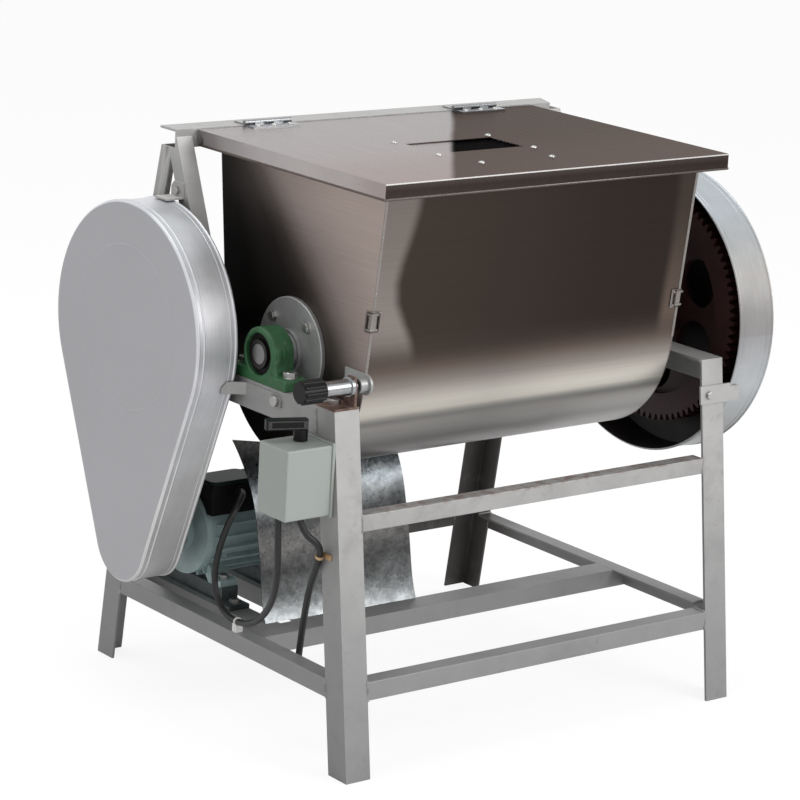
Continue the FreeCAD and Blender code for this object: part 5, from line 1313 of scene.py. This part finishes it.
# Stage, light and camera
def stage_floor():
    """A white floor that glows a little for the camera alone, so that it fades into the white room."""
    far, low = 9000, -0.6
    corners = [(-far, -far, low), (far, -far, low), (far, far, low), (-far, far, low)]
    mesh = mesh_of("studio_floor", corners, [(0, 1, 2, 3)])
    floor = made("studio_floor", mesh)
    material = bpy.data.materials.new("studio_white")
    material.use_nodes = True
    tree = material.node_tree
    shader = tree.nodes["Principled BSDF"]
    shader.inputs["Base Color"].default_value = (0.86, 0.86, 0.86, 1)
    shader.inputs["Roughness"].default_value = 0.9
    glow = node_in(tree, "ShaderNodeEmission", {"Strength": 1.06})
    path = node_in(tree, "ShaderNodeLightPath", {})
    share = node_in(tree, "ShaderNodeMath", {0: path.outputs["Is Camera Ray"], 1: 0.82}, operation="MULTIPLY")
    mix = node_in(tree, "ShaderNodeMixShader", {0: share.outputs[0], 1: shader.outputs[0],
                                                2: glow.outputs[0]})
    tree.links.new(mix.outputs[0], tree.nodes["Material Output"].inputs["Surface"])
    mesh.materials.append(material)


def studio_world():
    """A white room, dimmer as a light on dull surfaces than it looks in the steel and to the camera."""
    world = bpy.data.worlds.new("studio")
    bpy.context.scene.world = world
    world.use_nodes = True
    tree = world.node_tree
    back = tree.nodes["Background"]
    back.inputs["Color"].default_value = (1, 1, 1, 1)
    path = node_in(tree, "ShaderNodeLightPath", {}).outputs
    seen = node_in(tree, "ShaderNodeMath", {0: path["Is Camera Ray"], 1: path["Is Glossy Ray"]},
                   operation="MAXIMUM")
    both = node_in(tree, "ShaderNodeMath", {0: seen.outputs[0], 1: path["Is Transmission Ray"]},
                   operation="MAXIMUM")
    level = node_in(tree, "ShaderNodeMapRange", {"Value": both.outputs[0], "To Min": 0.55, "To Max": 1.0})
    tree.links.new(level.outputs["Result"], back.inputs["Strength"])


def lamp(name, place, size, power):
    """A round soft lamp that looks at the middle of the machine."""
    data = bpy.data.lights.new(name, "AREA")
    data.shape = "DISK"
    data.size = size
    data.energy = power
    light = made(name, data)
    light.location = place
    light.rotation_mode = "QUATERNION"
    light.rotation_quaternion = (Vector((0.0, 0.0, 0.6)) - Vector(place)).to_track_quat("-Z", "Y")
    return light


def photo_camera():
    """The camera that was solved from the photograph."""
    yaw, pitch, roll, focal = 0.6699, 0.2525, -0.0543, 3154.59
    ahead = Vector((math.sin(yaw) * math.cos(pitch), math.cos(yaw) * math.cos(pitch), -math.sin(pitch)))
    right = Vector((math.cos(yaw), -math.sin(yaw), 0.0))
    down = ahead.cross(right)
    across = math.cos(roll) * right + math.sin(roll) * down
    under = -math.sin(roll) * right + math.cos(roll) * down
    data = bpy.data.cameras.new("photo_camera")
    data.sensor_fit = "HORIZONTAL"
    data.sensor_width = 36.0
    data.lens = 36.0 * focal / 800.0
    data.clip_start = 0.1
    data.clip_end = 60.0
    camera = made("photo_camera", data)
    turn = Matrix((across, -under, -ahead)).transposed()
    camera.matrix_world = Matrix.Translation((-3.4130, -4.2422, 1.9160)) @ turn.to_4x4()
    bpy.context.scene.camera = camera


class MIXER_OT_stage(bpy.types.Operator):
    """Set the pale floor, the soft lamps and the photograph's camera"""
    bl_idname = "mixer.stage"
    bl_label = "Stage"

    def execute(self, context):
        stage_floor()
        studio_world()
        lamp("front_lamp", (1.6, -4.2, 2.9), 3.0, 130.0)
        lamp("top_lamp", (-0.6, 0.4, 4.4), 3.2, 60.0)
        side = lamp("side_lamp", (-4.2, -0.6, 2.2), 2.6, 35.0)
        side.visible_glossy = False  # the lid would mirror it as a white patch
        photo_camera()
        bpy.context.scene.view_settings.view_transform = "Standard"
        return {"FINISHED"}


class MIXER_OT_finishes(bpy.types.Operator):
    """Make every finish of the mixer"""
    bl_idname = "mixer.finishes"
    bl_label = "Finishes"

    def execute(self, context):
        make_finishes()
        return {"FINISHED"}


OPERATORS = (
    MIXER_OT_stage, MIXER_OT_finishes, MIXER_OT_leads, MIXER_OT_stand, MIXER_OT_bearings,
    MIXER_OT_trough, MIXER_OT_mixing_bars, MIXER_OT_lock, MIXER_OT_lid, MIXER_OT_guards,
    MIXER_OT_drive, MIXER_OT_motor, MIXER_OT_switch,
)


class MIXER_PT_panel(bpy.types.Panel):
    """Lists the mixer's pieces, sizes and colours"""
    bl_idname = "MIXER_PT_panel"
    bl_label = "Dough Mixer"
    bl_space_type = "VIEW_3D"
    bl_region_type = "UI"
    bl_category = "Mixer"

    def draw(self, context):
        layout = self.layout
        for group, owner in ((MixerSizes, sizes()), (MixerColours, colours())):
            box = layout.box()
            for key in group.__annotations__:
                box.prop(owner, key)
        for operator in OPERATORS:
            layout.operator(operator.bl_idname)


CLASSES = (MixerSizes, MixerColours) + OPERATORS + (MIXER_PT_panel,)


def register():
    for item in CLASSES:
        bpy.utils.register_class(item)
    bpy.types.Scene.mixer_sizes = bpy.props.PointerProperty(type=MixerSizes)
    bpy.types.Scene.mixer_colours = bpy.props.PointerProperty(type=MixerColours)


def unregister():
    del bpy.types.Scene.mixer_colours
    del bpy.types.Scene.mixer_sizes
    for item in reversed(CLASSES):
        bpy.utils.unregister_class(item)


def main():
    register()
    for operator in OPERATORS:
        group, name = operator.bl_idname.split(".")
        getattr(getattr(bpy.ops, group), name)()


if __name__ == "__main__":
    main()
